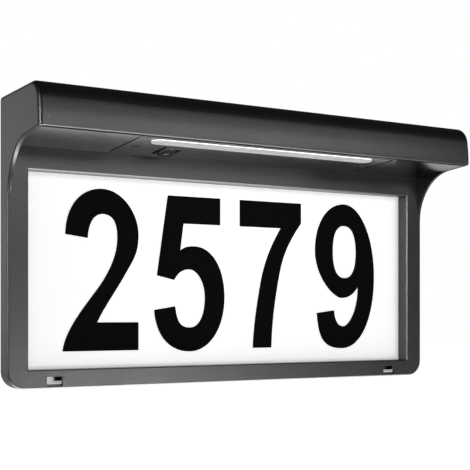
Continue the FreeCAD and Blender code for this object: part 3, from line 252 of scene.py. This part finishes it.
under_ceiling = ramp(tree, view["Z"], ceiling_from, ceiling_to, 1.0, ceiling_level)
past_screen = ramp(
    tree, view["X"], screen_from, screen_to, front_level, screen_level
)
in_front = ramp(tree, view["Y"], -front_edge, front_edge, 1.0, 0.0)
kept_back = math_node(tree, "SUBTRACT", 1.0, past_screen)
screen_loss = math_node(tree, "MULTIPLY", kept_back, in_front)
gloss_loss = math_node(tree, "MULTIPLY", screen_loss, in_gloss)
let_through = math_node(tree, "SUBTRACT", 1.0, gloss_loss)
shaded = math_node(tree, "MULTIPLY", under_ceiling, let_through)
calm = choose(tree, in_gloss, matt_level, gloss_level)
shaded = math_node(tree, "MULTIPLY", shaded, calm)

across_x = math_node(tree, "MULTIPLY", view["X"], -card_y)
across_y = math_node(tree, "MULTIPLY", view["Y"], card_x)
across = math_node(tree, "ABSOLUTE", math_node(tree, "ADD", across_x, across_y))
card = ramp(tree, across, card_half, card_half + card_soft, card_level, 0.0)
card_side = ramp(tree, view["X"], card_side_from, card_side_to, 1.0, 0.0)
card_top = ramp(tree, view["Z"], card_top_from, card_top_to, 1.0, 0.0)
for part in (card_side, card_top, in_gloss):
    card = math_node(tree, "MULTIPLY", card, part)

shaded = math_node(tree, "MAXIMUM", shaded, card)
level = math_node(tree, "MAXIMUM", shaded, seen_rays(tree, clear_rays))
backdrop = tree.nodes.new("ShaderNodeBackground")
feed(tree, backdrop.inputs["Color"], (1, 1, 1))
tree.links.new(level, backdrop.inputs["Strength"])
world_out = tree.nodes.new("ShaderNodeOutputWorld")
tree.links.new(backdrop.outputs[0], world_out.inputs["Surface"])
print("surroundings nodes:", len(tree.nodes))

# %% [markdown]
# Two soft boxes do the rest. The first stands low in front, on the right, about where the
# satin bezel mirrors it towards the camera: its sheen fades to the right. The second is
# long and narrow, and the hood's front mirrors it. It stands so high that the hood shades
# the upper rail from it.

# %% The lamps


def soft_box(name, place, target, width, height, watts):
    """A rectangular lamp that looks at a target point."""
    light = bpy.data.lights.new(name, "AREA")
    light.shape = "RECTANGLE"
    light.size = width
    light.size_y = height
    light.energy = watts
    lamp = bpy.data.objects.new(name, light)
    bpy.context.scene.collection.objects.link(lamp)
    look = Vector(target) - Vector(place)
    turn = look.to_track_quat("-Z", "Y").to_matrix().to_4x4()
    lamp.matrix_world = Matrix.Translation(place) @ turn
    print(name, "watts:", watts)


soft_box(
    "sheen_lamp",
    place=(0.46, -1.20, -0.42),
    target=(0, 0, 0),
    width=0.4,
    height=0.4,
    watts=11.0,
)
soft_box(
    "brow_lamp",
    place=(0.35, -1.15, 0.33),
    target=(0, 0, 0.06),
    width=1.1,
    height=0.2,
    watts=3.1,
)

# %% [markdown]
# ## The camera
# The photograph was taken from the left, about 31 degrees off the front, with the camera
# level and a little above the sign's lower edge. A vertical shift of the frame keeps the
# sign's upright edges parallel, as they are in the photograph.

# %% The camera
camera_place = Vector((-0.3725, -0.6327, -0.0424))
camera_turn = math.radians(-30.877)
lens_mm = 82.13
sensor_mm = 36.0
rise_share = 0.1664
side_share = -0.0011
camera_data = bpy.data.cameras.new("studio_camera")
camera_data.sensor_width = sensor_mm
camera_data.lens = lens_mm
camera_data.shift_y = rise_share
camera_data.shift_x = side_share
camera = bpy.data.objects.new("studio_camera", camera_data)
camera.rotation_euler = (math.pi / 2, 0, camera_turn)
camera.location = camera_place
bpy.context.scene.collection.objects.link(camera)
bpy.context.scene.camera = camera
print("camera distance to the sign, mm:", round(camera_place.length / MM))

# %% [markdown]
# ## Shared effects
# Every moulded surface has a fine grain and a faint change of tone. One node group makes
# both from Object coordinates, so that they sit still on the surface. It puts out plain
# values: a grain height for a Bump node, a tone around 1 for colour and roughness, and a
# mask for rubbed streaks. The tone is mostly a close speckle, with a small share of a
# slow change.

# %% The grain group
fine_detail = 2.5
fine_roughness = 0.55
slow_scale = 34.0
slow_detail = 4.0
slow_share = 0.35
speckle_scale = 640.0
speckle_detail = 2.0
streak_scale = 190.0
streak_detail = 6.0
rub_from = 0.60
rub_full = 0.74
noise_mean = 0.5

grain = bpy.data.node_groups.new("moulded_grain", "ShaderNodeTree")
for title, way in (
    ("Grains per metre", "INPUT"),
    ("Tone change", "INPUT"),
    ("Height", "OUTPUT"),
    ("Tone", "OUTPUT"),
    ("Rub", "OUTPUT"),
):
    grain.interface.new_socket(title, in_out=way, socket_type="NodeSocketFloat")
group_in = grain.nodes.new("NodeGroupInput")
group_out = grain.nodes.new("NodeGroupOutput")
grain_place = object_place(grain)


def noise(scale, detail):
    """A Noise node of the group."""
    node = grain.nodes.new("ShaderNodeTexNoise")
    node.inputs["Detail"].default_value = detail
    feed(grain, node.inputs["Scale"], scale)
    grain.links.new(grain_place, node.inputs["Vector"])
    return node


fine = noise(group_in.outputs["Grains per metre"], fine_detail)
fine.inputs["Roughness"].default_value = fine_roughness
grain.links.new(fine.outputs["Fac"], group_out.inputs["Height"])

slow = noise(slow_scale, slow_detail).outputs["Fac"]
speckle = noise(speckle_scale, speckle_detail).outputs["Fac"]
mingled = math_node(grain, "MULTIPLY_ADD", slow, slow_share, speckle)
mingled_mean = noise_mean * (1 + slow_share)
centred = math_node(grain, "SUBTRACT", mingled, mingled_mean)
tone_change = group_in.outputs["Tone change"]
tone_value = math_node(grain, "MULTIPLY_ADD", centred, tone_change, 1.0)
grain.links.new(tone_value, group_out.inputs["Tone"])

streaks = noise(streak_scale, streak_detail).outputs["Fac"]
rubbed = ramp(grain, streaks, rub_from, rub_full, 0.0, 1.0, smooth=False)
grain.links.new(rubbed, group_out.inputs["Rub"])
print("grain group nodes:", len(grain.nodes))

# %% [markdown]
# A finish is a material with its own shader. The class below starts each one: it places
# the grain group, lets its tone change the colour and the roughness, and turns the grain
# height into a small bump. What is the same all over the surface is set on the shader's
# own sockets.

# %% The start of every finish


class Finish:
    """A material under construction, with its shader and its grain."""

    def __init__(self, name, colour, roughness, grains, bump_mm, tone, rub):
        self.material = bpy.data.materials.new(name)
        self.material.use_nodes = True
        self.tree = self.material.node_tree
        self.shader = self.tree.nodes["Principled BSDF"]
        self.grain = self.tree.nodes.new("ShaderNodeGroup")
        self.grain.node_tree = grain
        self.grain.inputs["Grains per metre"].default_value = grains
        self.grain.inputs["Tone change"].default_value = tone
        self.link("Base Color", self.toned(colour))
        tone_value = self.grain.outputs["Tone"]
        steady = math_node(self.tree, "MULTIPLY", tone_value, roughness)
        lift = math_node(self.tree, "MULTIPLY", self.grain.outputs["Rub"], -rub)
        self.link("Roughness", math_node(self.tree, "ADD", steady, lift))
        self.bump = self.tree.nodes.new("ShaderNodeBump")
        self.bump.inputs["Strength"].default_value = 1.0
        self.bump.inputs["Distance"].default_value = bump_mm * MM
        self.tree.links.new(self.grain.outputs["Height"], self.bump.inputs["Height"])
        self.link("Normal", self.bump.outputs["Normal"])

    def toned(self, colour):
        """A colour, written as three numbers, times the tone."""
        node = self.tree.nodes.new("ShaderNodeVectorMath")
        node.operation = "SCALE"
        node.inputs[0].default_value = colour
        self.tree.links.new(self.grain.outputs["Tone"], node.inputs["Scale"])
        return node.outputs[0]

    def link(self, name, socket):
        """Let a socket drive one of the shader's inputs."""
        self.tree.links.new(socket, self.shader.inputs[name])

    def set(self, **values):
        """Give inputs of the shader plain values; _ stands for a space."""
        for name, value in values.items():
            self.shader.inputs[name.replace("_", " ")].default_value = value

    def place(self, axis):
        """One of the Object coordinates, in metres."""
        return axes(self.tree, object_place(self.tree))[axis]


finishes = {}


def keep(finish):
    """Keep a finished material under its name."""
    finishes[finish.material.name] = finish.material
    print("finish:", finish.material.name)


# %% [markdown]
# ## The black mouldings
# The hood, the bezel and the cover under the hood are moulded in black weatherproof
# plastic. The mould was spark eroded, which leaves a fine sand-like grain with a satin
# sheen. The cover and the module under the hood are smoother. Their coat is painted on
# more strongly towards the front, a painted sheen: the front mirrors the white panel
# brightly and the back falls dark. The rocker is semi-gloss.

# %% Black plastics
# Painted sheen: the coat weight grows from the back of the cover to its front.
painted_sheen_from = -0.026
painted_sheen_full = -0.058


def paint_front_sheen(finish, most):
    """Paint a sheen on a finish: its coat grows towards the front of the sign."""
    coat = ramp(finish.tree, finish.place("Y"), painted_sheen_full, painted_sheen_from, most, 0.0)
    finish.link("Coat Weight", coat)


moulding = Finish(
    "black_spark_texture",
    (0.009, 0.009, 0.010),
    roughness=0.32, grains=2300, bump_mm=0.025, tone=0.6, rub=0.0,
)
moulding.set(Specular_IOR_Level=0.7)
keep(moulding)

cover_finish = Finish(
    "black_cover_satin",
    (0.006, 0.006, 0.0065),
    roughness=0.17, grains=2600, bump_mm=0.006, tone=0.3, rub=0.0,
)
cover_finish.set(Specular_IOR_Level=0.4, Coat_Roughness=0.16, Coat_IOR=1.9)
paint_front_sheen(cover_finish, most=1.0)
keep(cover_finish)

module_finish = Finish(
    "black_module_texture",
    (0.007, 0.007, 0.0075),
    roughness=0.20, grains=3600, bump_mm=0.008, tone=0.3, rub=0.0,
)
module_finish.set(Specular_IOR_Level=0.4, Coat_Roughness=0.2, Coat_IOR=1.7)
paint_front_sheen(module_finish, most=0.9)
keep(module_finish)

rocker_finish = Finish(
    "black_rocker_gloss",
    (0.008, 0.008, 0.009),
    roughness=0.26, grains=5200, bump_mm=0.006, tone=0.15, rub=0.05,
)
rocker_finish.set(Coat_Weight=0.25, Coat_Roughness=0.12)
keep(rocker_finish)

# %% [markdown]
# ## White and milky plastics
# The number panel is bright white, smooth and slightly satin. It is given a faint painted
# glow, though it is no lamp, which makes it look a little whiter than paint. The light
# bar's lens is a milky strip that scatters the light, so it looks a shade greyer than the
# panel. Faint ribs run across it, which spread the light along the bar. Its glow is
# strong for the surfaces around it and weak for the camera, so the lens keeps its shape
# in the picture.

# %% The panel, the lens and the reflector
panel_finish = Finish(
    "white_panel",
    (0.93, 0.93, 0.935),
    roughness=0.34, grains=5200, bump_mm=0.004, tone=0.02, rub=0.03,
)
# Painted glow: the panel gives off a little light of its own, though it is no lamp, so it
# reads a cleaner white.
panel_finish.set(Emission_Color=(1.0, 1.0, 1.0, 1.0), Emission_Strength=0.34)
keep(panel_finish)

lens_ribs = 1.6 * MM
rib_height = 0.03 * MM
lens_glow_seen = 0.04
lens_glow_light = 3.5
lens_finish = Finish(
    "milky_lens",
    (0.79, 0.80, 0.82),
    roughness=0.34, grains=5200, bump_mm=0.004, tone=0.05, rub=0.0,
)
tree = lens_finish.tree
rib_angle = math_node(tree, "MULTIPLY", lens_finish.place("X"), 2 * math.pi / lens_ribs)
rib_bump = tree.nodes.new("ShaderNodeBump")
rib_bump.inputs["Distance"].default_value = rib_height
tree.links.new(math_node(tree, "SINE", rib_angle), rib_bump.inputs["Height"])
tree.links.new(lens_finish.bump.outputs["Normal"], rib_bump.inputs["Normal"])
lens_finish.link("Normal", rib_bump.outputs["Normal"])
camera_ray = seen_rays(tree, ["Is Camera Ray"])
lens_glow = choose(tree, camera_ray, lens_glow_light, lens_glow_seen)
lens_finish.link("Emission Strength", lens_glow)
lens_finish.set(
    Subsurface_Weight=0.25,
    Subsurface_Scale=2 * MM,
    Emission_Color=(0.96, 0.98, 1.0, 1.0),
)
keep(lens_finish)

keep(
    Finish(
        "white_reflector",
        (0.88, 0.88, 0.87),
        roughness=0.22, grains=5200, bump_mm=0.003, tone=0.05, rub=0.05,
    )
)

# %% [markdown]
# ## Rubber and metal
# Seals and the grommet are dull rubber with a dusty bloom. The beads along the partings
# are a plain deep black, painted shade for the shadow in the gaps. The screws are black
# passivated steel with fine turning marks, the switch terminals are brass, and the
# battery contacts are nickel.

# %% Rubber
rubber_dark = (0.04, 0.04, 0.042)
rubber_bloom = (0.085, 0.083, 0.08)
rubber_finish = Finish(
    "dull_rubber",
    rubber_dark,
    roughness=0.78, grains=1700, bump_mm=0.03, tone=0.3, rub=0.02,
)
bloom = mix_colours(
    rubber_finish.tree,
    rubber_finish.grain.outputs["Rub"],
    rubber_finish.toned(rubber_dark),
    rubber_bloom,
)
rubber_finish.link("Base Color", bloom)
keep(rubber_finish)

# Painted shade: the beads are a deeper black than any moulding, and stand in for the
# shadow in the gaps.
shade_bead_finish = Finish(
    "painted_shade_bead",
    (0.002, 0.002, 0.002),
    roughness=0.7, grains=1700, bump_mm=0.01, tone=0.3, rub=0.02,
)
shade_bead_finish.set(Specular_IOR_Level=0.1)
keep(shade_bead_finish)

# %% Metals
for metal_name, metal_colour, metal_roughness in (
    ("black_screw_steel", (0.045, 0.045, 0.048), 0.36),
    ("bright_brass", (0.78, 0.58, 0.24), 0.28),
    ("plated_nickel", (0.66, 0.65, 0.60), 0.30),
):
    metal_finish = Finish(
        metal_name,
        metal_colour,
        metal_roughness,
        grains=3000, bump_mm=0.006, tone=0.2, rub=0.12,
    )
    metal_finish.set(Metallic=1.0)
    keep(metal_finish)

# %% [markdown]
# ## Electronics
# The boards, the battery and the leads are hidden, but they are finished too. The boards'
# copper tracks are drawn by a brick pattern that is seen through the solder mask. The
# battery's sleeve has a plain light band at one end, and each light source is a white
# case with a small yellow window.

# %% Circuit boards
track_scale = 120.0
track_width = 0.05
for board_name, mask_colour, track_colour in (
    ("green_mask", (0.02, 0.16, 0.06), (0.05, 0.30, 0.12)),
    ("white_mask", (0.83, 0.84, 0.84), (0.74, 0.74, 0.70)),
):
    board_finish = Finish(
        board_name,
        mask_colour,
        roughness=0.32, grains=4200, bump_mm=0.004, tone=0.12, rub=0.04,
    )
    tree = board_finish.tree
    tracks = tree.nodes.new("ShaderNodeTexBrick")
    tracks.inputs["Scale"].default_value = track_scale
    tracks.inputs["Mortar Size"].default_value = track_width
    feed(tree, tracks.inputs["Color1"], (0, 0, 0))
    feed(tree, tracks.inputs["Color2"], (0, 0, 0))
    feed(tree, tracks.inputs["Mortar"], (1, 1, 1))
    tree.links.new(object_place(tree), tracks.inputs["Vector"])
    masked = board_finish.toned(mask_colour)
    copper = mix_colours(tree, tracks.outputs["Color"], masked, track_colour)
    board_finish.link("Base Color", copper)
    keep(board_finish)
keep(
    Finish(
        "component_case",
        (0.035, 0.035, 0.036),
        roughness=0.42, grains=4600, bump_mm=0.01, tone=0.3, rub=0.06,
    )
)

# %% The light sources
led_low, led_high = map(Vector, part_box("leds"))
led_count = 18
led_side = 3.0 * MM
led_window = 1.1 * MM
led_white = (0.86, 0.86, 0.84)
led_yellow = (0.92, 0.72, 0.16)
led_pitch = (led_high.x - led_low.x - led_side) / (led_count - 1)
first_led = led_low.x + led_side / 2
led_finish = Finish(
    "light_source",
    led_white,
    roughness=0.25, grains=5000, bump_mm=0.003, tone=0.05, rub=0.03,
)
tree = led_finish.tree
x = led_finish.place("X")
step = math_node(tree, "SUBTRACT", x, first_led - led_pitch / 2)
turned = math_node(tree, "PINGPONG", step, led_pitch / 2)
away = math_node(tree, "SUBTRACT", led_pitch / 2, turned)
window = math_node(tree, "LESS_THAN", away, led_window)
phosphor = mix_colours(tree, window, led_finish.toned(led_white), led_yellow)
led_finish.link("Base Color", phosphor)
keep(led_finish)

# %% The battery and the leads
sleeve_blue = (0.03, 0.12, 0.32)
band_grey = (0.7, 0.71, 0.72)
band_length = 14 * MM
cell_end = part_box("battery_cell")[1][0]
sleeve_finish = Finish(
    "shrink_sleeve",
    sleeve_blue,
    roughness=0.24, grains=5200, bump_mm=0.003, tone=0.08, rub=0.05,
)
tree = sleeve_finish.tree
x = sleeve_finish.place("X")
band = math_node(tree, "GREATER_THAN", x, cell_end - band_length)
banded = mix_colours(tree, band, sleeve_finish.toned(sleeve_blue), band_grey)
sleeve_finish.link("Base Color", banded)
keep(sleeve_finish)
keep(
    Finish(
        "lead_insulation",
        (0.17, 0.016, 0.014),
        roughness=0.40, grains=3000, bump_mm=0.008, tone=0.2, rub=0.05,
    )
)

# %% [markdown]
# ## The solar panel
# The cells are dark blue silicon with faint crystal grains. Thin silver fingers cross
# each cell and two broader bars join them. A clear resin sheet covers the cells, and the
# board behind them is black.

# %% Solar finishes
cells_low, cells_high = map(Vector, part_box("solar_cells"))
finger_pitch = 1.9 * MM
finger_width = 0.16 * MM
bar_width = 1.1 * MM
bar_middle = (cells_low.y + cells_high.y) / 2
bar_side = (cells_high.y - cells_low.y) / 4
crystal_scale = 210.0
crystal_light = (0.02, 0.045, 0.16)
crystal_dark = (0.008, 0.016, 0.06)
silver = (0.55, 0.56, 0.58)
silicon = Finish(
    "dark_silicon",
    crystal_dark,
    roughness=0.22, grains=4200, bump_mm=0.003, tone=0.3, rub=0.04,
)
tree = silicon.tree
crystals = tree.nodes.new("ShaderNodeTexVoronoi")
crystals.inputs["Scale"].default_value = crystal_scale
tree.links.new(object_place(tree), crystals.inputs["Vector"])
crystal = mix_colours(tree, crystals.outputs["Distance"], crystal_light, crystal_dark)
y = silicon.place("Y")
finger_place = math_node(tree, "PINGPONG", y, finger_pitch / 2)
finger_mask = math_node(tree, "LESS_THAN", finger_place, finger_width / 2)
from_middle = math_node(tree, "ABSOLUTE", math_node(tree, "SUBTRACT", y, bar_middle))
from_bar = math_node(
    tree, "ABSOLUTE", math_node(tree, "SUBTRACT", from_middle, bar_side)
)
bar_mask = math_node(tree, "LESS_THAN", from_bar, bar_width / 2)
silver_mask = math_node(tree, "MAXIMUM", finger_mask, bar_mask)
silicon.link("Base Color", mix_colours(tree, silver_mask, crystal, silver))
keep(silicon)

keep(
    Finish(
        "black_laminate",
        (0.012, 0.012, 0.016),
        roughness=0.45, grains=3000, bump_mm=0.01, tone=0.3, rub=0.05,
    )
)
resin = Finish(
    "clear_resin",
    (0.96, 0.97, 1.0),
    roughness=0.17, grains=900, bump_mm=0.01, tone=0.1, rub=0.02,
)
resin.set(Transmission_Weight=1.0, IOR=1.49)
keep(resin)

# %% [markdown]
# ## Finishes on the solid parts
# The solid parts keep their shapes. Each gets its finish by filling its material slots.

# %% Give every solid part its finish
parts_in = {
    "black_spark_texture": ["front_housing"],
    "black_cover_satin": ["underside_cover"],
    "black_module_texture": ["module_plate", "module_box", "battery_cradle"],
    "black_rocker_gloss": ["switch_body", "switch_rocker"],
    "white_panel": ["number_plate"],
    "milky_lens": ["lens_bar"],
    "white_reflector": ["reflector"],
    "dull_rubber": ["module_seal", "lens_seal", "panel_seal", "lead_grommet"],
    "black_screw_steel": ["module_screws"],
    "bright_brass": ["switch_terminals"],
    "plated_nickel": ["battery_contacts"],
    "green_mask": ["control_board"],
    "white_mask": ["led_board"],
    "component_case": ["control_parts"],
    "light_source": ["leds"],
    "shrink_sleeve": ["battery_cell"],
    "lead_insulation": ["panel_lead", "battery_lead", "switch_lead", "light_lead"],
    "black_laminate": ["solar_board"],
    "dark_silicon": ["solar_cells"],
    "clear_resin": ["solar_cover"],
}
for finish_name, node_names in parts_in.items():
    for node_name in node_names:
        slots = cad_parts[node_name].data.materials
        for number in range(len(slots)):
            slots[number] = finishes[finish_name]
print("solid parts finished:", sum(len(names) for names in parts_in.values()))

# %% [markdown]
# ## The numerals
# House numerals on such a sign are cut from thin black sheet and stuck on the panel. Each
# one is a flat curve with a handful of points: corners where the sheet is cut straight,
# and smooth points at the top, bottom and sides of a bowl. A curve is the natural tool
# here, because it fills its own outline and leaves the hole of a closed bowl open.

# %% Draw one numeral


def add_outline(curve, points):
    """A closed outline, in mm. A point is a corner (x, z), a smooth point (x, z, reach x,
    reach z), or a corner with its own reach on both sides (x, z, in x, in z, out x,
    out z)."""
    line = curve.splines.new("BEZIER")
    line.use_cyclic_u = True
    line.bezier_points.add(len(points) - 1)
    for spot, point in zip(line.bezier_points, points):
        pairs = [Vector((*pair, 0)) * MM for pair in zip(point[::2], point[1::2])]
        where, *reaches = pairs
        if len(reaches) == 2:
            before, after = reaches
        else:
            after = reaches[0] if reaches else Vector((0, 0, 0))
            before = -after
        spot.co = where
        spot.handle_left_type = spot.handle_right_type = "FREE"
        spot.handle_left = where + before
        spot.handle_right = where + after


two = [
    (1.8, 73.5, 0, 0, 0.3, 18),
    (26.9, 103.1, 14.5, 0),
    (52.2, 75.0, 0, -13),
    (43.4, 50.0, 5.0, 8.6, -6.4, -10.6),
    (23.2, 18.0, 4.6, 9.5, 0, 0),
    (52.2, 18.0),
    (52.2, 0),
    (0, 0, 0, 0, 1.4, 15),
    (27.4, 44.6, -7.6, -11.2, 6.2, 9.4),
    (37.4, 72.6, 0, -9.4, 0, 10.6),
    (27.2, 87.2, -6.2, 0),
    (16.8, 71.6, 0.3, 9, 0, 0),
]
five = [
    (10.0, 101.6),
    (49.8, 101.6),
    (49.8, 83.6),
    (21.6, 83.6),
    (19.1, 65.4, 0, 0, 3.0, 2.2),
    (29.9, 68.6, -5.6, 0, 13.5, 0),
    (53.1, 34.6, 0, -20),
    (26.5, -1.5, -15.5, 0),
    (0, 26.0, 1.2, -16.5, 0, 0),
    (15.4, 28.4, 0, 0, 1.0, -9.6),
    (26.5, 14.3, 7.4, 0),
    (38.0, 34.4, 0, 11.6),
    (26.2, 53.2, -5.2, 0),
    (14.6, 46.0, 3.0, 5.0, 0, 0),
    (2.0, 48.8),
]
seven = [
    (0, 101.6),
    (50.6, 101.6),
    (50.6, 87.6, 0, 0, -13.5, -17.5),
    (31.0, 45.0, 3.4, 17, -3.0, -15.0),
    (25.6, 0, 0.3, 15, 0, 0),
    (10.6, 0, 0, 0, 0.6, 16),
    (17.0, 45.6, -3.0, -14.5, 3.2, 15),
    (33.6, 83.6, -8.0, -12.5, 0, 0),
    (0, 83.6),
]
nine = [
    (1.5, 24.0, 0, 0, 1.6, -15.5),
    (23.8, -1.5, 18.0, 0),
    (53.0, 51.0, 0, 29),
    (25.6, 103.1, -14.8, 0),
    (0, 69.0, 0, -19.5),
    (23.4, 35.0, 6.6, 0),
    (38.2, 43.4, -3.6, -5.2, 0.2, -17.5),
    (25.0, 14.4, -5.0, 0),
    (16.6, 26.0, 0.6, -7.6, 0, 0),
]
nine_hole = [
    (25.6, 87.4, 8.0, 0),
    (36.4, 68.0, 0, -11),
    (26.0, 49.4, -7.4, 0),
    (15.4, 68.0, 0, 11),
]
print("points in the outlines:", [len(outline) for outline in (two, five, seven, nine)])

# %% [markdown]
# The flat curve lies in its own plane. It becomes a mesh first, and is then stood up and
# centred in its place on the panel. It is joined to nothing: each numeral is a separate
# piece of sheet.

# %% Cut the four numerals and stick them on
numeral_thickness = 0.5 * MM
numeral_edge = 0.08 * MM
curve_steps = 24
panel_face = -2.4 * MM
numeral_base = sign_low.z + 22.2 * MM
numeral_pitch = 64.2 * MM
first_middle = -95.4 * MM
vinyl = Finish(
    "numeral_black",
    (0.0015, 0.0015, 0.002),
    roughness=0.6, grains=4200, bump_mm=0.004, tone=0.2, rub=0.06,
)
vinyl.set(Specular_IOR_Level=0.03)
keep(vinyl)


def cut_numeral(name, outlines, middle):
    """Cut a numeral and stand it on the panel, with its middle at a given X."""
    curve = bpy.data.curves.new(name, "CURVE")
    curve.dimensions = "2D"
    curve.fill_mode = "BOTH"
    curve.resolution_u = curve_steps
    curve.extrude = numeral_thickness / 2 - numeral_edge
    curve.bevel_depth = numeral_edge
    curve.bevel_resolution = 1
    for outline in outlines:
        add_outline(curve, outline)
    sheet = bpy.data.objects.new(name + "_curve", curve)
    mesh = bpy.data.meshes.new_from_object(sheet)
    bpy.data.objects.remove(sheet)
    bpy.data.curves.remove(curve)
    sides = [corner.co.x for corner in mesh.vertices]
    own_middle = (max(sides) + min(sides)) / 2
    mesh.transform(Matrix.Rotation(math.pi / 2, 4, "X"))
    back = panel_face - numeral_thickness / 2
    mesh.transform(Matrix.Translation((middle - own_middle, back, numeral_base)))
    mesh.name = name
    numeral = bpy.data.objects.new(name, mesh)
    bpy.context.scene.collection.objects.link(numeral)
    mesh.materials.append(vinyl.material)
    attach(numeral, "sign")
    print(name, "faces:", len(mesh.polygons))


for number, (name, outlines) in enumerate(
    (
        ("numeral_first", [two]),
        ("numeral_second", [five]),
        ("numeral_third", [seven]),
        ("numeral_fourth", [nine, nine_hole]),
    )
):
    cut_numeral(name, outlines, first_middle + number * numeral_pitch)

# %% [markdown]
# ## Marks on the rocker
# Two small printed marks tell on from off: a bar and a ring. Each is set flat on the
# rocker where a ray from below meets it, and turns with the rocker.

# %% A bar and a ring
mark_offset = 4.3 * MM
mark_thickness = 0.12 * MM
mark_sink = 0.04 * MM
bar_size = (3.4 * MM, 0.55 * MM)
ring_inner = 0.95 * MM
ring_outer = 1.5 * MM
ring_segments = 28
ray_start_below = 10 * MM
rocker_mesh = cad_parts["switch_rocker"].data
rocker_tree = BVHTree.FromPolygons(
    [corner.co for corner in rocker_mesh.vertices],
    [list(face.vertices) for face in rocker_mesh.polygons],
)
rocker_low, rocker_high = map(Vector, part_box("switch_rocker"))
mark_paint = Finish(
    "mark_grey",
    (0.42, 0.42, 0.42),
    roughness=0.45, grains=4200, bump_mm=0.003, tone=0.06, rub=0.04,
)
keep(mark_paint)


def flat_ring():
    """A flat ring around Z, from four rims that are joined in turn."""
    shape = bmesh.new()
    turns = [2 * math.pi * step / ring_segments for step in range(ring_segments)]
    rims = []
    for radius, z in (
        (ring_inner, 0),
        (ring_outer, 0),
        (ring_outer, mark_thickness),
        (ring_inner, mark_thickness),
    ):
        rim = [(radius * math.cos(turn), radius * math.sin(turn), z) for turn in turns]
        rims.append([shape.verts.new(point) for point in rim])
    for ring, following in zip(rims, rims[1:] + rims[:1]):
        for step in range(ring_segments):
            after = (step + 1) % ring_segments
            shape.faces.new(
                (ring[step], ring[after], following[after], following[step])
            )
    bmesh.ops.recalc_face_normals(shape, faces=shape.faces)
    return shape


def flat_bar():
    """A flat bar that stands on Z = 0."""
    shape = bmesh.new()
    bmesh.ops.create_cube(shape, size=1.0)
    bmesh.ops.scale(shape, verts=shape.verts, vec=(*bar_size, mark_thickness))
    bmesh.ops.translate(shape, verts=shape.verts, vec=(0, 0, mark_thickness / 2))
    return shape


def print_mark(name, shape, offset):
    """Set a flat mark on the rocker's face."""
    middle = (rocker_low + rocker_high) / 2
    start = Vector((middle.x, middle.y + offset, rocker_low.z - ray_start_below))
    spot, normal = rocker_tree.ray_cast(start, Vector((0, 0, 1)))[:2]
    across = Vector((1, 0, 0))
    along = normal.cross(across)
    turn = Matrix((across, along, normal)).transposed().to_4x4()
    seat = Matrix.Translation(spot - normal * mark_sink)
    bmesh.ops.transform(shape, verts=shape.verts, matrix=seat @ turn)
    piece = put_in_scene(name, shape)
    piece.data.materials.append(mark_paint.material)
    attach(piece, "rocker")
    print(name, "set at, mm:", [round(value / MM, 2) for value in spot])


print_mark("on_mark", flat_bar(), mark_offset)
print_mark("off_mark", flat_ring(), -mark_offset)

# %% [markdown]
# ## Seams
# The cover under the hood meets the front wall in a parting, and the module plate lies in
# the cover with a narrow gap around it. A thin black bead lies in each of them as painted
# shade: it draws the dark line of shadow that outlines the module and the hood's front
# edge.

# %% Painted shade: dark beads along the partings
gap = 0.45 * MM
sink = 0.15 * MM
side_shade_bead = 0.9 * MM
cross_shade_bead = 0.6 * MM
hood_shade_bead = 1.1 * MM
shade_bead_segments = 12
near_plane = 0.2 * MM
near_end = 0.6 * MM
plate_low, plate_high = map(Vector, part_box("module_plate"))
cover_low, cover_high = map(Vector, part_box("underside_cover"))


def corner_of(node_name, plane_x, at_front):
    """The corner of a solid's underside near an upright plane, at its front or back."""
    points = [corner.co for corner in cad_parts[node_name].data.vertices]
    reach = min(abs(point.x - plane_x) for point in points) + near_plane
    near = [point for point in points if abs(point.x - plane_x) < reach]
    last = min if at_front else max
    end = last(point.y for point in near)
    at_end = [point for point in near if abs(point.y - end) < near_end]
    return min(at_end, key=lambda point: point.z).copy()


def lay_shade_bead(name, start, end, width):
    """A round dark cord between two points, painted shade in a gap."""
    path = end - start
    shape = bmesh.new()
    bmesh.ops.create_cone(
        shape,
        cap_ends=True,
        segments=shade_bead_segments,
        radius1=width / 2,
        radius2=width / 2,
        depth=path.length,
    )
    turn = path.to_track_quat("Z", "Y").to_matrix().to_4x4()
    seat = Matrix.Translation((start + end) / 2)
    bmesh.ops.transform(shape, verts=shape.verts, matrix=seat @ turn)
    piece = put_in_scene(name, shape)
    piece.data.materials.append(finishes["painted_shade_bead"])
    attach(piece, "sign")
    print(name, "length, mm:", round(path.length / MM, 1))


corners = {}
for side_name, end_x in (("left", plate_low.x), ("right", plate_high.x)):
    outward = math.copysign(gap / 2, end_x)
    for end_name, forward in (("front", -gap / 2), ("back", gap / 2)):
        spot = corner_of("module_plate", end_x, end_name == "front")
        spot.x = end_x + outward
        spot.y += forward
        spot.z += sink
        corners[side_name, end_name] = spot
    front, back = corners[side_name, "front"], corners[side_name, "back"]
    lay_shade_bead(side_name + "_module_shade_bead", front, back, side_shade_bead)
for end_name in ("front", "back"):
    left, right = corners["left", end_name], corners["right", end_name]
    lay_shade_bead(end_name + "_module_shade_bead", left, right, cross_shade_bead)

ends = []
for end_x in (cover_low.x, cover_high.x):
    spot = corner_of("underside_cover", end_x, at_front=True)
    spot.y -= gap / 2
    spot.z += sink
    ends.append(spot)
lay_shade_bead("hood_front_shade_bead", *ends, hood_shade_bead)

# %% Close
bpy.context.scene.view_settings.view_transform = "Standard"
